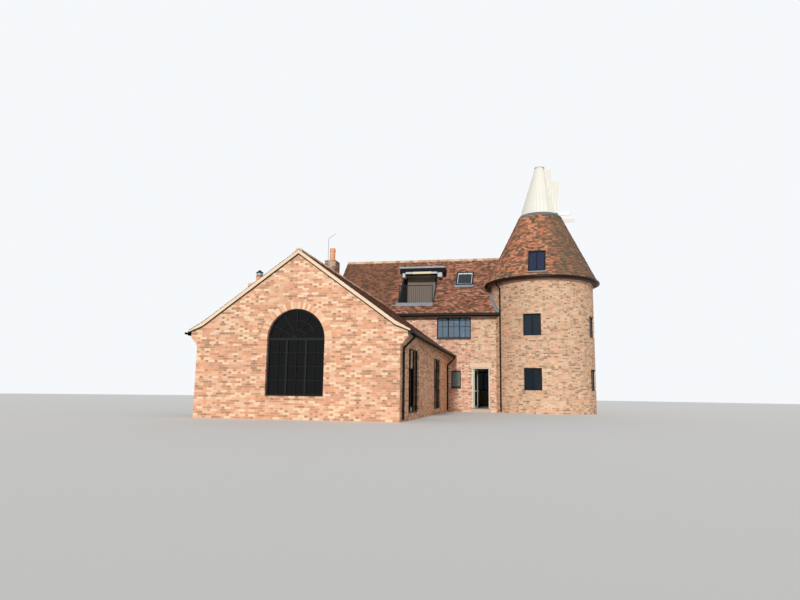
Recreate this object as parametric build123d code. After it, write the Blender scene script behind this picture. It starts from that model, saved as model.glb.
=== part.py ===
from build123d import *
import math
import os

os.makedirs("parts", exist_ok=True)

# A converted oast house: a gabled brick wing, a long tiled main block and a round kiln tower
# with a turning cowl. Origin on the tower's axis at ground level, X to the right along the
# front, Y into the site, Z up. Millimetres.

# Main block: two storeys and an attic under a 45 degree roof
main_length = 10980
main_depth = 6400
ridge_behind_tower = 2080
main_eaves_z = 4940
main_overhang = 300
main_pitch = 45
main_roof_thickness = 150
main_verge_overhang = 60
wall_thickness = 300

# Floors, by the height of each one's top
ground_floor_z = 180
first_floor_z = 2750
attic_floor_z = 5350
floor_thickness = 250

# Wing: single storey, its gable in front of the main block's left part
wing_width = 6840
wing_length = 12480
wing_axis_x = -8150
wing_ridge_z = 5485
wing_pitch = 36
wing_roof_thickness = 100
wing_sprocket_run = 480
wing_sprocket_pitch = 29
wing_soffit_pitch = 22
wing_eaves_overhang = 320
wing_verge_overhang = 50
ridge_radius = 110

# Corbelled brick kneelers at the gable's eaves
kneeler_start_z = 2410
kneeler_course = 75
kneeler_steps = 4
kneeler_step_out = 58

# Arched window in the gable
arch_width = 1950
arch_sill_z = 740
arch_springing_z = 2560
arch_frame_depth = 90
arch_frame_face = 60
arch_bar_face = 70
arch_transom_height = 85
arch_reveal = 100

# Tall glazed openings in the wing's sides, by their distance behind the gable
side_opening_starts = (1500, 7500)
side_opening_width = 2050
side_opening_height = 2190
side_sill_above_floor = 40

# Window joinery
frame_face = 50
frame_depth = 70
frame_reveal = 60
glass_thickness = 20
sill_height = 60
sill_projection = 50

# First floor casement and small window of the front, and the casements of the back
casement_width = 1740
casement_height = 1080
casement_sill_above_floor = 930
casement_from_axis = 4420
small_window_width = 490
small_window_height = 830
small_window_sill_above_floor = 1020
small_window_from_wing = 425
back_window_offsets = (3600, 8200)

# Doorway, its frame and its glazed leaf, standing open into the house
door_width = 870
door_height = 2010
door_from_axis = 3065
door_frame_face = 50
door_frame_depth = 90
door_reveal = 40
door_gap = 5
leaf_closing_gap = 12
leaf_thickness = 45
leaf_stile = 95
leaf_mid_rail_z = 900
leaf_open_angle = 80
handle_radius = 9
handle_stand_off = 45
handle_length = 120
hinge_radius = 8
hinge_pin_radius = 4
hinge_pin_gap = 0.3
hinge_height = 45
hinge_from_end = 200
hinge_flap = 3
hinge_flap_reach = 12
step_width = 900
step_depth = 320
step_height = 150

# Roof terrace, cut into the front slope under a flat canopy
terrace_from_axis = 6475
terrace_width = 1810
terrace_front_setback = 320
terrace_back_setback = 2220
terrace_wall = 80
terrace_deck_thickness = 100
terrace_headroom = 1950
canopy_thickness = 300
canopy_forward = 800
canopy_left_overhang = 160
canopy_right_overhang = 500
terrace_sill_height = 110
rail_height = 1080
rail_tube = 40
rail_bar = 16
rail_bar_spacing = 100
terrace_door_frame = 120
terrace_lintel_height = 120

# Roof window
roof_window_from_axis = 4010
roof_window_width = 940
roof_window_length = 1180
roof_window_up_slope = 2430
roof_window_stand_up = 60
roof_window_face = 75

# Kiln tower
tower_radius = 2550
tower_wall = 330
tower_wall_top_z = 6400
tower_segments = 4
tower_eaves_radius = 2790
tower_eaves_z = 6560
tower_top_radius = 1050
tower_top_z = 10120
tower_roof_thickness = 110
tower_roof_sides = 48
tower_window_bearing = -102.5
tower_window_width = 870
tower_window_height = 1050
tower_window_head_z = 2140
tower_side_bearing = -20
cone_window_bearing = -96
cone_window_width = 820
cone_window_length = 1250
cone_window_from_eaves = 190
curved_gap = 4
cone_cut_inward = 440
cone_cut_outward = 220

# Cowl, its boards and its spindle
curb_height = 40
curb_ring_width = 110
cowl_gap = 5
cowl_bearing = 0
cowl_base_radius = 1020
cowl_top_radius = 240
cowl_top_shift = 45
cowl_height = 2700
cowl_sides = 32
cowl_board = 35
cowl_cap_rise = 70
cowl_cap_lip = 25
cowl_ring_height = 60
cheek_base_offset = 650
cheek_top_offset = 160
cheek_thickness = 30
cheek_foot_reach = 850
cheek_step_reach = 1050
cheek_step_z = 1785
cheek_head_reach = 650
cheek_head_z = 2515
finger_tips = (1550, 1900)
finger_height = 200
finger_drop = 155
finger_roof_gap = 45
finger_notch = 90
spindle_radius = 60
spindle_foot_gap = 0.3
beam_depth = 150
beam_below_top = 520
beam_width = 160
bearing_gap = 2
bearing_wall = 25
bearing_height = 60

# Chimneys
wing_stack_width = 820
wing_stack_depth = 600
wing_stack_outside = 445
wing_stack_behind_gable = 4500
wing_stack_top_z = 5240
flaunching_height = 60
wing_pot_radius = 85
wing_pot_height = 170
pot_sides = 16
cap_radius = 135
cap_tip_radius = 17
cap_cone_height = 140
cap_gauze_radius = 105
cap_gauze_height = 130
gable_stack_width = 600
gable_stack_depth = 800
gable_stack_behind_front = 520
gable_stack_top_z = 8050
gable_pot_foot_radius = 140
gable_pot_top_radius = 110
gable_pot_height = 560
mast_radius = 14
mast_height = 1250
boom_length = 420

# Rainwater goods
gutter_width = 116
gutter_depth = 70
gutter_wall = 6
gutter_drop = 40
gutter_clearance = 180
fascia_below_edge = 20
fascia_height = 150
fascia_thickness = 22
pipe_radius = 36
pipe_sides = 12
pipe_wall_gap = 12
pipe_ground_gap = 60
wing_pipe_behind_gable = 390
tower_pipe_before_eaves = 144

# Places worked out from the sizes above
far = 2 * (main_length + wing_length)
main_ridge_y = ridge_behind_tower
main_front_y = main_ridge_y - main_depth / 2
main_back_y = main_front_y + main_depth
main_left_x = -main_length
main_slope = math.tan(math.radians(main_pitch))
main_roof_drop = main_roof_thickness / math.cos(math.radians(main_pitch))
main_ridge_z = main_eaves_z + (main_depth / 2 + main_overhang) * main_slope
wing_front_y = main_front_y - wing_length
wing_left_x = wing_axis_x - wing_width / 2
wing_right_x = wing_axis_x + wing_width / 2
small_window_from_axis = -(wing_right_x + small_window_from_wing)
wing_slope = math.tan(math.radians(wing_pitch))
wing_roof_drop = wing_roof_thickness / math.cos(math.radians(wing_pitch))
wing_eaves_reach = wing_width / 2 + wing_eaves_overhang
arch_radius = arch_width / 2
upright = (Align.CENTER, Align.CENTER, Align.MIN)


def block(x0, x1, y0, y1, z0, z1):
    """A box between two corners."""
    centre = Pos((x0 + x1) / 2, (y0 + y1) / 2, (z0 + z1) / 2)
    return centre * Box(x1 - x0, y1 - y0, z1 - z0)


def along_y(points, y0, y1):
    """A profile of (x, z) points run from y0 to y1."""
    face = Plane.XZ.offset(-y0) * Polygon(*points, align=None)
    return extrude(face, amount=y1 - y0, dir=(0, 1, 0))


def along_x(points, x0, x1):
    """A profile of (y, z) points run from x0 to x1."""
    face = Plane.YZ.offset(x0) * Polygon(*points, align=None)
    return extrude(face, amount=x1 - x0, dir=(1, 0, 0))


def turned(points, arc=360, start=0):
    """A profile of (radius, z) points revolved about the tower's axis."""
    shape = revolve(Plane.XZ * Polygon(*points, align=None), Axis.Z, arc)
    return Rot(0, 0, start) * shape


def between(foot, head):
    """A solid with flat faces between two level outlines that have as many corners each."""
    count = len(foot)
    sides = [[foot[i], foot[(i + 1) % count], head[(i + 1) % count], head[i]] for i in range(count)]
    return Solid(Shell([Face(Wire.make_polygon(points)) for points in sides + [foot, head]]))


def frustum(radius0, radius1, sides, z0, z1, shift=0):
    """A many-sided cone between two heights, its upper end shifted along X."""
    turns = [2 * math.pi * index / sides for index in range(sides)]
    foot = [(radius0 * math.cos(turn), radius0 * math.sin(turn), z0) for turn in turns]
    head = [(shift + radius1 * math.cos(turn), radius1 * math.sin(turn), z1) for turn in turns]
    return between(foot, head)


def prism(radius, sides, z0, z1):
    """An upright many-sided prism about the tower's axis."""
    return frustum(radius, radius, sides, z0, z1)


def save(name, *pieces):
    """Write one node, of one solid or of several that don't touch."""
    solids = [solid for piece in pieces for solid in piece.solids()]
    shape = solids[0] if len(solids) == 1 else Compound(solids)
    export_step(shape, f"parts/{name}.step")


def main_top(y):
    """Height of the main roof's upper face above a front-to-back place."""
    return main_ridge_z - abs(y - main_ridge_y) * main_slope


def main_under(y):
    return main_top(y) - main_roof_drop


def wing_line(x_from_axis, eaves_pitch):
    """Height on the wing roof's slope, with its own pitch over the sprocketed eaves."""
    bend = wing_eaves_reach - wing_sprocket_run
    straight = min(abs(x_from_axis), bend)
    rest = max(abs(x_from_axis) - bend, 0)
    return wing_ridge_z - straight * wing_slope - rest * math.tan(math.radians(eaves_pitch))


def wing_top(x_from_axis):
    return wing_line(x_from_axis, wing_sprocket_pitch)


def wing_under(x_from_axis):
    return wing_line(x_from_axis, wing_soffit_pitch) - wing_roof_drop


def wing_outline():
    """The wing roof's upper line from one eaves to the other."""
    bend = wing_eaves_reach - wing_sprocket_run
    stations = (-wing_eaves_reach, -bend, 0, bend, wing_eaves_reach)
    return [(wing_axis_x + x, wing_top(x)) for x in stations]


def tower_cone_radius(z):
    """Outer radius of the tower's tiled cone at a height."""
    share = (z - tower_eaves_z) / (tower_top_z - tower_eaves_z)
    return tower_eaves_radius + share * (tower_top_radius - tower_eaves_radius)


# Volumes that other pieces are cut to
tower_volume = turned([
    (0, 0),
    (tower_radius + curved_gap, 0),
    (tower_radius + curved_gap, tower_wall_top_z),
    (tower_eaves_radius + curved_gap, tower_wall_top_z),
    (tower_eaves_radius + curved_gap, tower_eaves_z),
    (tower_top_radius + curved_gap, tower_top_z),
    (0, tower_top_z),
])
main_volume_profile = [
    (main_front_y, 0),
    (main_front_y, main_top(main_front_y)),
    (main_ridge_y, main_ridge_z),
    (main_back_y, main_top(main_back_y)),
    (main_back_y, 0),
]
wing_under_roof = along_y(
    [(wing_axis_x - wing_eaves_reach, 0)] + wing_outline()
    + [(wing_axis_x + wing_eaves_reach, 0)],
    wing_front_y - wing_verge_overhang, main_front_y)

wing_stack_x0 = wing_left_x - wing_stack_outside
wing_stack_x1 = wing_stack_x0 + wing_stack_width
wing_stack_y0 = wing_front_y + wing_stack_behind_gable
wing_stack_y1 = wing_stack_y0 + wing_stack_depth
wing_stack = block(wing_stack_x0, wing_stack_x1, wing_stack_y0, wing_stack_y1, 0, wing_stack_top_z)

gable_stack_y0 = main_front_y + gable_stack_behind_front
gable_stack_y1 = gable_stack_y0 + gable_stack_depth
gable_stack = block(main_left_x - gable_stack_width, main_left_x,
                    gable_stack_y0, gable_stack_y1, 0, gable_stack_top_z)


def arch_profile(inset, sill_z):
    """The arched opening's outline, inset evenly, as a face in the gable's plane."""
    radius = arch_radius - inset
    lower = Pos(0, (sill_z + arch_springing_z) / 2) * Rectangle(2 * radius, arch_springing_z - sill_z)
    upper = Pos(0, arch_springing_z) * Circle(radius)
    crop = Pos(0, arch_springing_z + radius) * Rectangle(2 * radius, 2 * radius)
    return lower + (upper & crop)


def arch_solid(inset, sill_z, y0, y1):
    face = Pos(wing_axis_x, y0, 0) * (Plane.XZ * arch_profile(inset, sill_z))
    return extrude(face, amount=y1 - y0, dir=(0, 1, 0))


# Wing: front gable with its corbelled kneelers and arched window
def kneeler_side(side):
    """One side of the gable's outline, stepping out below the eaves."""
    points = [(wing_axis_x + side * wing_width / 2, 0)]
    reach = wing_width / 2
    for step in range(kneeler_steps):
        z = kneeler_start_z + step * kneeler_course
        points.append((wing_axis_x + side * reach, z))
        reach += kneeler_step_out
        points.append((wing_axis_x + side * reach, z))
    points.append((wing_axis_x + side * reach, wing_under(reach)))
    return points


bend_reach = wing_eaves_reach - wing_sprocket_run
gable_top = [(wing_axis_x + x, wing_under(x)) for x in (-bend_reach, 0, bend_reach)]
gable_outline = kneeler_side(-1) + gable_top + kneeler_side(1)[::-1]
wing_front_wall = along_y(gable_outline, wing_front_y, wing_front_y + wall_thickness)
wing_front_wall -= arch_solid(0, arch_sill_z, wing_front_y - far, wing_front_y + wall_thickness + far)
save("wing_front_wall", wing_front_wall)

frame_y0 = wing_front_y + arch_reveal
frame_y1 = frame_y0 + arch_frame_depth
arch_frame = arch_solid(0, arch_sill_z, frame_y0, frame_y1)
arch_frame -= arch_solid(arch_frame_face, arch_sill_z + arch_frame_face, frame_y0, frame_y1)
clear_width = arch_width - 2 * arch_frame_face
transom = block(wing_axis_x - clear_width / 2, wing_axis_x + clear_width / 2, frame_y0, frame_y1,
                arch_springing_z - arch_transom_height / 2, arch_springing_z + arch_transom_height / 2)
arch_frame += transom
for side in (-1, 1):
    mullion_x = wing_axis_x + side * arch_width / 6
    arch_frame += block(mullion_x - arch_bar_face / 2, mullion_x + arch_bar_face / 2, frame_y0, frame_y1,
                        arch_sill_z + arch_frame_face, arch_springing_z)
arch_glass_y = (frame_y0 + frame_y1) / 2
arch_glass = arch_solid(arch_frame_face, arch_sill_z + arch_frame_face,
                        arch_glass_y - glass_thickness / 2, arch_glass_y + glass_thickness / 2)
save("arch_window_frame", arch_frame)
glass_panes = [arch_glass - arch_frame]

# Wing: side walls, back return, floor and their glazed openings
side_sill_z = ground_floor_z + side_sill_above_floor
side_head_z = side_sill_z + side_opening_height


def wing_side_wall(side):
    """A side wall under the roof's slope, with its tall glazed openings."""
    outer = wing_width / 2
    inner = outer - wall_thickness
    profile = [(wing_axis_x + side * outer, 0), (wing_axis_x + side * outer, wing_under(outer)),
               (wing_axis_x + side * inner, wing_under(inner)), (wing_axis_x + side * inner, 0)]
    if inner < bend_reach < outer:
        profile.insert(2, (wing_axis_x + side * bend_reach, wing_under(bend_reach)))
    wall = along_y(profile, wing_front_y + wall_thickness, main_front_y)
    edge = sorted((wing_axis_x + side * (inner - far), wing_axis_x + side * (outer + far)))
    for start in side_opening_starts:
        y0 = wing_front_y + start
        wall -= block(edge[0], edge[1], y0, y0 + side_opening_width, side_sill_z, side_head_z)
    return wall


save("wing_right_wall", wing_side_wall(1))

return_x0 = wing_left_x + wall_thickness
return_top = [(x, wing_under(x - wing_axis_x)) for x in (main_left_x, return_x0)]
return_wall = along_y([(return_x0, 0), (main_left_x, 0)] + return_top,
                      main_front_y - wall_thickness, main_front_y)
save("wing_left_wall", wing_side_wall(-1) + return_wall - wing_stack)

wing_floor = block(wing_left_x + wall_thickness, wing_right_x - wall_thickness,
                   wing_front_y + wall_thickness, main_front_y, 0, ground_floor_z)
save("wing_floor", wing_floor - wing_stack - return_wall)


def framed_window(width, height, lights, face, depth):
    """A frame with mullions, standing on Z = 0 and facing -Y, and its glass."""
    frame = block(-width / 2, width / 2, 0, depth, 0, height)
    step = (width - face) / lights
    for light in range(lights):
        x0 = -width / 2 + face + light * step
        frame -= block(x0, x0 + step - face, 0, depth, face, height - face)
    panes = block(-width / 2 + face, width / 2 - face, (depth - glass_thickness) / 2,
                  (depth + glass_thickness) / 2, face, height - face) - frame
    return frame, panes


window_frames = []
window_sills = []
for side in (-1, 1):
    frame, panes = framed_window(side_opening_width, side_opening_height, 3, frame_face, frame_depth)
    for start in side_opening_starts:
        middle_y = wing_front_y + start + side_opening_width / 2
        place = Pos(wing_axis_x + side * (wing_width / 2 - frame_reveal), middle_y, side_sill_z)
        place = place * Rot(0, 0, side * 90)
        window_frames.append(place * frame)
        glass_panes.append(place * panes)

# Wing roof: two slopes that die into the main roof, and the ridge
behind_front = along_x([(main_front_y, -far)] + main_volume_profile[1:3]
                       + [(main_ridge_y + far, main_ridge_z), (main_ridge_y + far, -far)], -far, far)
roof_back_y = main_front_y + (wing_ridge_z - main_top(main_front_y)) / main_slope + ridge_radius


def wing_roof_slope(side):
    stations = (0, bend_reach, wing_eaves_reach)
    upper = [(wing_axis_x + side * x, wing_top(x)) for x in stations]
    lower = [(wing_axis_x + side * x, wing_under(x)) for x in stations]
    return along_y(upper + lower[::-1], wing_front_y - wing_verge_overhang, roof_back_y) - behind_front


save("wing_roof_left", wing_roof_slope(-1) - wing_stack)
save("wing_roof_right", wing_roof_slope(1))


def ridge_profile(pitch):
    """A half-round ridge tile bedded on two slopes that meet at the profile's origin."""
    fall = 2 * ridge_radius * math.tan(math.radians(pitch))
    below = Polygon((0, 0), (2 * ridge_radius, -fall), (2 * ridge_radius, -2 * fall - ridge_radius),
                    (-2 * ridge_radius, -2 * fall - ridge_radius), (-2 * ridge_radius, -fall), align=None)
    return Circle(ridge_radius) - below


wing_ridge_face = Pos(wing_axis_x, wing_front_y - wing_verge_overhang, wing_ridge_z) * (
    Plane.XZ * ridge_profile(wing_pitch))
wing_ridge = extrude(wing_ridge_face, amount=roof_back_y - wing_front_y + wing_verge_overhang,
                     dir=(0, 1, 0)) - behind_front

# Main block: walls with real openings, cut to the tower
door_x0 = -door_from_axis - door_width / 2
door_x1 = door_x0 + door_width
door_sill_z = ground_floor_z
door_head_z = door_sill_z + door_height
inner_front_y = main_front_y + wall_thickness
inner_back_y = main_back_y - wall_thickness


def wall_hole(from_axis, width, z0, height, y_near):
    """A window opening through the front or the back wall."""
    middle = -from_axis
    return block(middle - width / 2, middle + width / 2, y_near - wall_thickness,
                 y_near + 2 * wall_thickness, z0, z0 + height)


casement_z0 = first_floor_z + casement_sill_above_floor
small_window_z0 = ground_floor_z + small_window_sill_above_floor
front_profile = [(main_front_y, 0), (main_front_y, main_under(main_front_y)),
                 (inner_front_y, main_under(inner_front_y)), (inner_front_y, 0)]
front_wall = along_x(front_profile, main_left_x, 0) - tower_volume
front_wall -= wall_hole(casement_from_axis, casement_width, casement_z0, casement_height, main_front_y)
front_wall -= wall_hole(small_window_from_axis, small_window_width, small_window_z0,
                        small_window_height, main_front_y)
over_door = block(-far, far, -far, far, door_head_z, far)
save("front_wall_upper", front_wall & over_door)
save("front_wall_left", (front_wall - over_door) & block(-far, door_x0, -far, far, 0, far))
save("front_wall_right", (front_wall - over_door) & block(door_x1, far, -far, far, 0, far))

back_profile = [(main_back_y, 0), (main_back_y, main_under(main_back_y)),
                (inner_back_y, main_under(inner_back_y)), (inner_back_y, 0)]
back_wall = along_x(back_profile, main_left_x, 0)
back_window_zs = (ground_floor_z + casement_sill_above_floor, casement_z0)
for offset in back_window_offsets:
    for z in back_window_zs:
        back_wall -= wall_hole(offset, casement_width, z, casement_height, inner_back_y)
save("back_wall", back_wall)

gable_profile = [(inner_front_y, 0), (inner_front_y, main_under(inner_front_y)),
                 (main_ridge_y, main_under(main_ridge_y)),
                 (inner_back_y, main_under(inner_back_y)), (inner_back_y, 0)]
gable_window_y = (main_ridge_y + inner_back_y) / 2
left_gable = along_x(gable_profile, main_left_x, main_left_x + wall_thickness)
for z in (small_window_z0, first_floor_z + small_window_sill_above_floor):
    left_gable -= block(main_left_x - far, main_left_x + far, gable_window_y - small_window_width / 2,
                        gable_window_y + small_window_width / 2, z, z + small_window_height)
save("left_gable_wall", left_gable)
save("right_gable_wall", along_x(gable_profile, -wall_thickness, 0) - tower_volume)

# Main block: floors between the walls, each stopped by the tower
inside = along_x([(inner_front_y, 0), (inner_front_y, main_under(inner_front_y)),
                  (main_ridge_y, main_under(main_ridge_y)),
                  (inner_back_y, main_under(inner_back_y)), (inner_back_y, 0)],
                 main_left_x + wall_thickness, -wall_thickness) - tower_volume


def floor_between(z0, z1):
    return inside & block(-far, far, -far, far, z0, z1)


threshold = block(door_x0, door_x1, main_front_y, inner_front_y, 0, door_sill_z)
save("main_ground_floor", floor_between(0, ground_floor_z) + threshold)
save("upper_floors", floor_between(first_floor_z - floor_thickness, first_floor_z),
     floor_between(attic_floor_z - floor_thickness, attic_floor_z))

# Main roof: two slopes, with the terrace cut out of the front one
terrace_x0 = -terrace_from_axis - terrace_width / 2
terrace_x1 = terrace_x0 + terrace_width
terrace_y0 = main_front_y + terrace_front_setback
terrace_y1 = main_front_y + terrace_back_setback
deck_z = attic_floor_z + terrace_deck_thickness
soffit_z = deck_z + terrace_headroom
canopy_y0 = terrace_y1 - canopy_forward
terrace_hole = block(terrace_x0 - terrace_wall, terrace_x1 + terrace_wall, terrace_y0,
                     terrace_y1 + terrace_wall, attic_floor_z, far)
slope_angle = math.radians(main_pitch)
roof_window_low_y = main_front_y - main_overhang + roof_window_up_slope * math.cos(slope_angle)
roof_window_plane = Pos(-roof_window_from_axis, roof_window_low_y, main_top(roof_window_low_y)) * Rot(
    main_pitch, 0, 0)
roof_window_hole = roof_window_plane * block(
    -roof_window_width / 2 + roof_window_face, roof_window_width / 2 - roof_window_face,
    roof_window_face, roof_window_length - roof_window_face,
    -2 * main_roof_thickness, 2 * main_roof_thickness)

roof_left_x = main_left_x - main_verge_overhang


def main_roof_slope(side):
    """One slope of the main roof, from the ridge to its overhanging eaves."""
    eaves_y = main_ridge_y + side * (main_depth / 2 + main_overhang)
    profile = [(main_ridge_y, main_ridge_z), (eaves_y, main_top(eaves_y)),
               (eaves_y, main_under(eaves_y)), (main_ridge_y, main_under(main_ridge_y))]
    return along_x(profile, roof_left_x, 0) - tower_volume - gable_stack


front_slope = main_roof_slope(-1) - wing_under_roof - terrace_hole - roof_window_hole
save("main_roof_front", front_slope)
save("main_roof_back", main_roof_slope(1))

main_ridge_face = Pos(roof_left_x, main_ridge_y, main_ridge_z) * (Plane.YZ * ridge_profile(main_pitch))
main_ridge = extrude(main_ridge_face, amount=-roof_left_x, dir=(1, 0, 0)) - tower_volume
save("ridge_tiles", wing_ridge, main_ridge)

# Roof terrace: deck, cheeks, back wall with a framed glazed screen, canopy and railing
deck = block(terrace_x0, terrace_x1, terrace_y0, terrace_y1, attic_floor_z, deck_z)
deck += block(terrace_x0, terrace_x1, terrace_y0, terrace_y0 + terrace_wall, attic_floor_z,
              deck_z + terrace_sill_height)
save("terrace_deck", deck)

cheek_side = [(terrace_y0, attic_floor_z), (terrace_y0, main_top(terrace_y0))]
upstand_y = canopy_y0 + canopy_forward / 2
cheek_side += [(upstand_y, main_top(upstand_y)), (upstand_y, soffit_z), (terrace_y1, soffit_z),
               (terrace_y1, attic_floor_z)]
cheeks = [along_x(cheek_side, x0, x0 + terrace_wall) for x0 in (terrace_x0 - terrace_wall, terrace_x1)]
save("terrace_cheeks", *cheeks)

screen_back = terrace_y1 + terrace_wall
screen_z1 = soffit_z - terrace_lintel_height
terrace_back = block(terrace_x0 - terrace_wall, terrace_x1 + terrace_wall, terrace_y1, screen_back,
                     attic_floor_z, soffit_z)
terrace_back -= block(terrace_x0 + terrace_door_frame, terrace_x1 - terrace_door_frame,
                      terrace_y1, screen_back, deck_z, screen_z1)
save("terrace_back_wall", terrace_back)
screen_y = (terrace_y1 + screen_back) / 2
save("terrace_screen", block(terrace_x0 + terrace_door_frame, terrace_x1 - terrace_door_frame,
                             screen_y - glass_thickness / 2, screen_y + glass_thickness / 2,
                             deck_z, screen_z1))

canopy_z1 = soffit_z + canopy_thickness
canopy_side = [(canopy_y0, soffit_z), (screen_back, soffit_z), (screen_back, main_top(screen_back)),
               (main_ridge_y - (main_ridge_z - canopy_z1) / main_slope, canopy_z1), (canopy_y0, canopy_z1)]
canopy = along_x(canopy_side, terrace_x0 - canopy_left_overhang, terrace_x1 + canopy_right_overhang)
save("terrace_canopy", canopy - front_slope)

rail_y = terrace_y0 + terrace_wall / 2
rail_foot_z = deck_z + terrace_sill_height
rail_top_z = deck_z + rail_height
railing = block(terrace_x0, terrace_x1, rail_y - rail_tube / 2, rail_y + rail_tube / 2,
                rail_top_z - rail_tube, rail_top_z)
railing += block(terrace_x0, terrace_x1, rail_y - rail_tube / 2, rail_y + rail_tube / 2,
                 rail_foot_z, rail_foot_z + rail_tube)
bar_count = int(terrace_width / rail_bar_spacing)
for index in range(1, bar_count):
    x = terrace_x0 + index * terrace_width / bar_count
    railing += block(x - rail_bar / 2, x + rail_bar / 2, rail_y - rail_bar / 2, rail_y + rail_bar / 2,
                     rail_foot_z, rail_top_z)
for x0 in (terrace_x0, terrace_x1 - rail_tube):
    railing += block(x0, x0 + rail_tube, rail_y - rail_tube / 2, rail_y + rail_tube / 2,
                     rail_foot_z, rail_top_z)
save("terrace_railing", railing)

# Roof window, lying on the front slope
roof_frame = block(-roof_window_width / 2, roof_window_width / 2, 0, roof_window_length,
                   0, roof_window_stand_up)
roof_frame -= block(-roof_window_width / 2 + roof_window_face, roof_window_width / 2 - roof_window_face,
                    roof_window_face, roof_window_length - roof_window_face, 0, roof_window_stand_up)
roof_glass = block(-roof_window_width / 2 + roof_window_face, roof_window_width / 2 - roof_window_face,
                   roof_window_face, roof_window_length - roof_window_face,
                   (roof_window_stand_up - glass_thickness) / 2, (roof_window_stand_up + glass_thickness) / 2)
roof_frames = [roof_window_plane * roof_frame]
glass_panes.append(roof_window_plane * roof_glass)


# Main block windows, in the front, the back and the left gable
def set_window(place, width, height, lights):
    """Frame, glass and sill of a window whose outer wall face is the place's XZ plane."""
    frame, panes = framed_window(width, height, lights, frame_face, frame_depth)
    inward = place * Pos(0, frame_reveal, 0)
    window_frames.append(inward * frame)
    glass_panes.append(inward * panes)
    window_sills.append(place * block(-width / 2, width / 2, -sill_projection, 0, -sill_height, 0))


set_window(Pos(-casement_from_axis, main_front_y, casement_z0), casement_width, casement_height, 3)
set_window(Pos(-small_window_from_axis, main_front_y, small_window_z0),
           small_window_width, small_window_height, 1)
for offset in back_window_offsets:
    for z in back_window_zs:
        set_window(Pos(-offset, main_back_y, z) * Rot(0, 0, 180), casement_width, casement_height, 3)
for z in (small_window_z0, first_floor_z + small_window_sill_above_floor):
    set_window(Pos(main_left_x, gable_window_y, z) * Rot(0, 0, -90),
               small_window_width, small_window_height, 1)
save("window_sills", *window_sills)

# Doorway: frame, glazed leaf that stands open into the house, and the step
frame_front_y = main_front_y + door_reveal
frame_back_y = frame_front_y + door_frame_depth
door_frame = block(door_x0, door_x1, frame_front_y, frame_back_y, door_sill_z, door_head_z)
door_frame -= block(door_x0 + door_frame_face, door_x1 - door_frame_face, frame_front_y,
                    frame_back_y, door_sill_z, door_head_z - door_frame_face)

leaf_width = door_width - 2 * door_frame_face - door_gap - leaf_closing_gap
leaf_height = door_height - door_frame_face - 2 * door_gap
hinge_x = door_x0 + door_frame_face + door_gap / 2
hinge_y = frame_back_y + hinge_radius
leaf_z0 = door_sill_z + door_gap
leaf_x0 = door_gap / 2
leaf_y0 = -hinge_radius - leaf_thickness
leaf_y1 = -hinge_radius
leaf = block(leaf_x0, leaf_x0 + leaf_width, leaf_y0, leaf_y1, 0, leaf_height)
pane_y = (leaf_y0 + leaf_y1) / 2
leaf_panes = []
for z0, z1 in ((leaf_stile, leaf_mid_rail_z - leaf_stile), (leaf_mid_rail_z, leaf_height - leaf_stile)):
    x0 = leaf_x0 + leaf_stile
    x1 = leaf_x0 + leaf_width - leaf_stile
    leaf -= block(x0, x1, leaf_y0, leaf_y1, z0, z1)
    leaf_panes.append(block(x0, x1, pane_y - glass_thickness / 2, pane_y + glass_thickness / 2, z0, z1))

handle_x = leaf_x0 + leaf_width - leaf_stile / 2
handle_z = leaf_mid_rail_z - leaf_stile / 2
for side, face_y in ((-1, leaf_y0), (1, leaf_y1)):
    grip_y = face_y + side * handle_stand_off
    stem_y = sorted((face_y, grip_y))
    leaf += block(handle_x - handle_radius, handle_x + handle_radius, stem_y[0], stem_y[1],
                  handle_z - handle_radius, handle_z + handle_radius)
    leaf += block(handle_x - handle_length, handle_x + handle_radius, grip_y - handle_radius,
                  grip_y + handle_radius, handle_z - handle_radius, handle_z + handle_radius)

# Butt hinges: a knuckle and pin on the frame, a bored knuckle on the leaf above it
for z in (hinge_from_end, leaf_height - hinge_from_end):
    knuckle = Cylinder(hinge_radius, hinge_height, align=upright)
    fixed = knuckle + block(-door_gap / 2 - hinge_flap_reach, 0, -hinge_radius, hinge_flap - hinge_radius,
                            0, hinge_height)
    fixed += Cylinder(hinge_pin_radius, 2 * hinge_height, align=upright)
    door_frame += Pos(hinge_x, hinge_y, leaf_z0 + z - hinge_height) * fixed
    moving = knuckle + block(0, leaf_x0 + hinge_flap_reach, -hinge_radius, hinge_flap - hinge_radius,
                             0, hinge_height)
    moving -= Cylinder(hinge_pin_radius + hinge_pin_gap, hinge_height, align=upright)
    leaf += Pos(0, 0, z + hinge_pin_gap) * moving
save("door_frame", door_frame)
leaf_place = Pos(hinge_x, hinge_y, leaf_z0) * Rot(0, 0, leaf_open_angle)
save("door_leaf", leaf_place * leaf)
save("door_leaf_glass", *[leaf_place * pane for pane in leaf_panes])

step_middle = (door_x0 + door_x1) / 2
save("door_step", block(step_middle - step_width / 2, step_middle + step_width / 2,
                        main_front_y - step_depth, main_front_y, 0, step_height))

# Kiln tower: round wall in segments with its windows, and three floors
wall_ring = [(tower_radius - tower_wall, 0), (tower_radius, 0),
             (tower_radius, tower_wall_top_z), (tower_radius - tower_wall, tower_wall_top_z)]
tower_window_z0 = tower_window_head_z - tower_window_height
tower_upper_z0 = first_floor_z + casement_sill_above_floor


def on_tower(bearing, z):
    """A place on the tower's outer face, with its +Y pointing at the axis."""
    return Rot(0, 0, bearing + 90) * Pos(0, -tower_radius, z)


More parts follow.
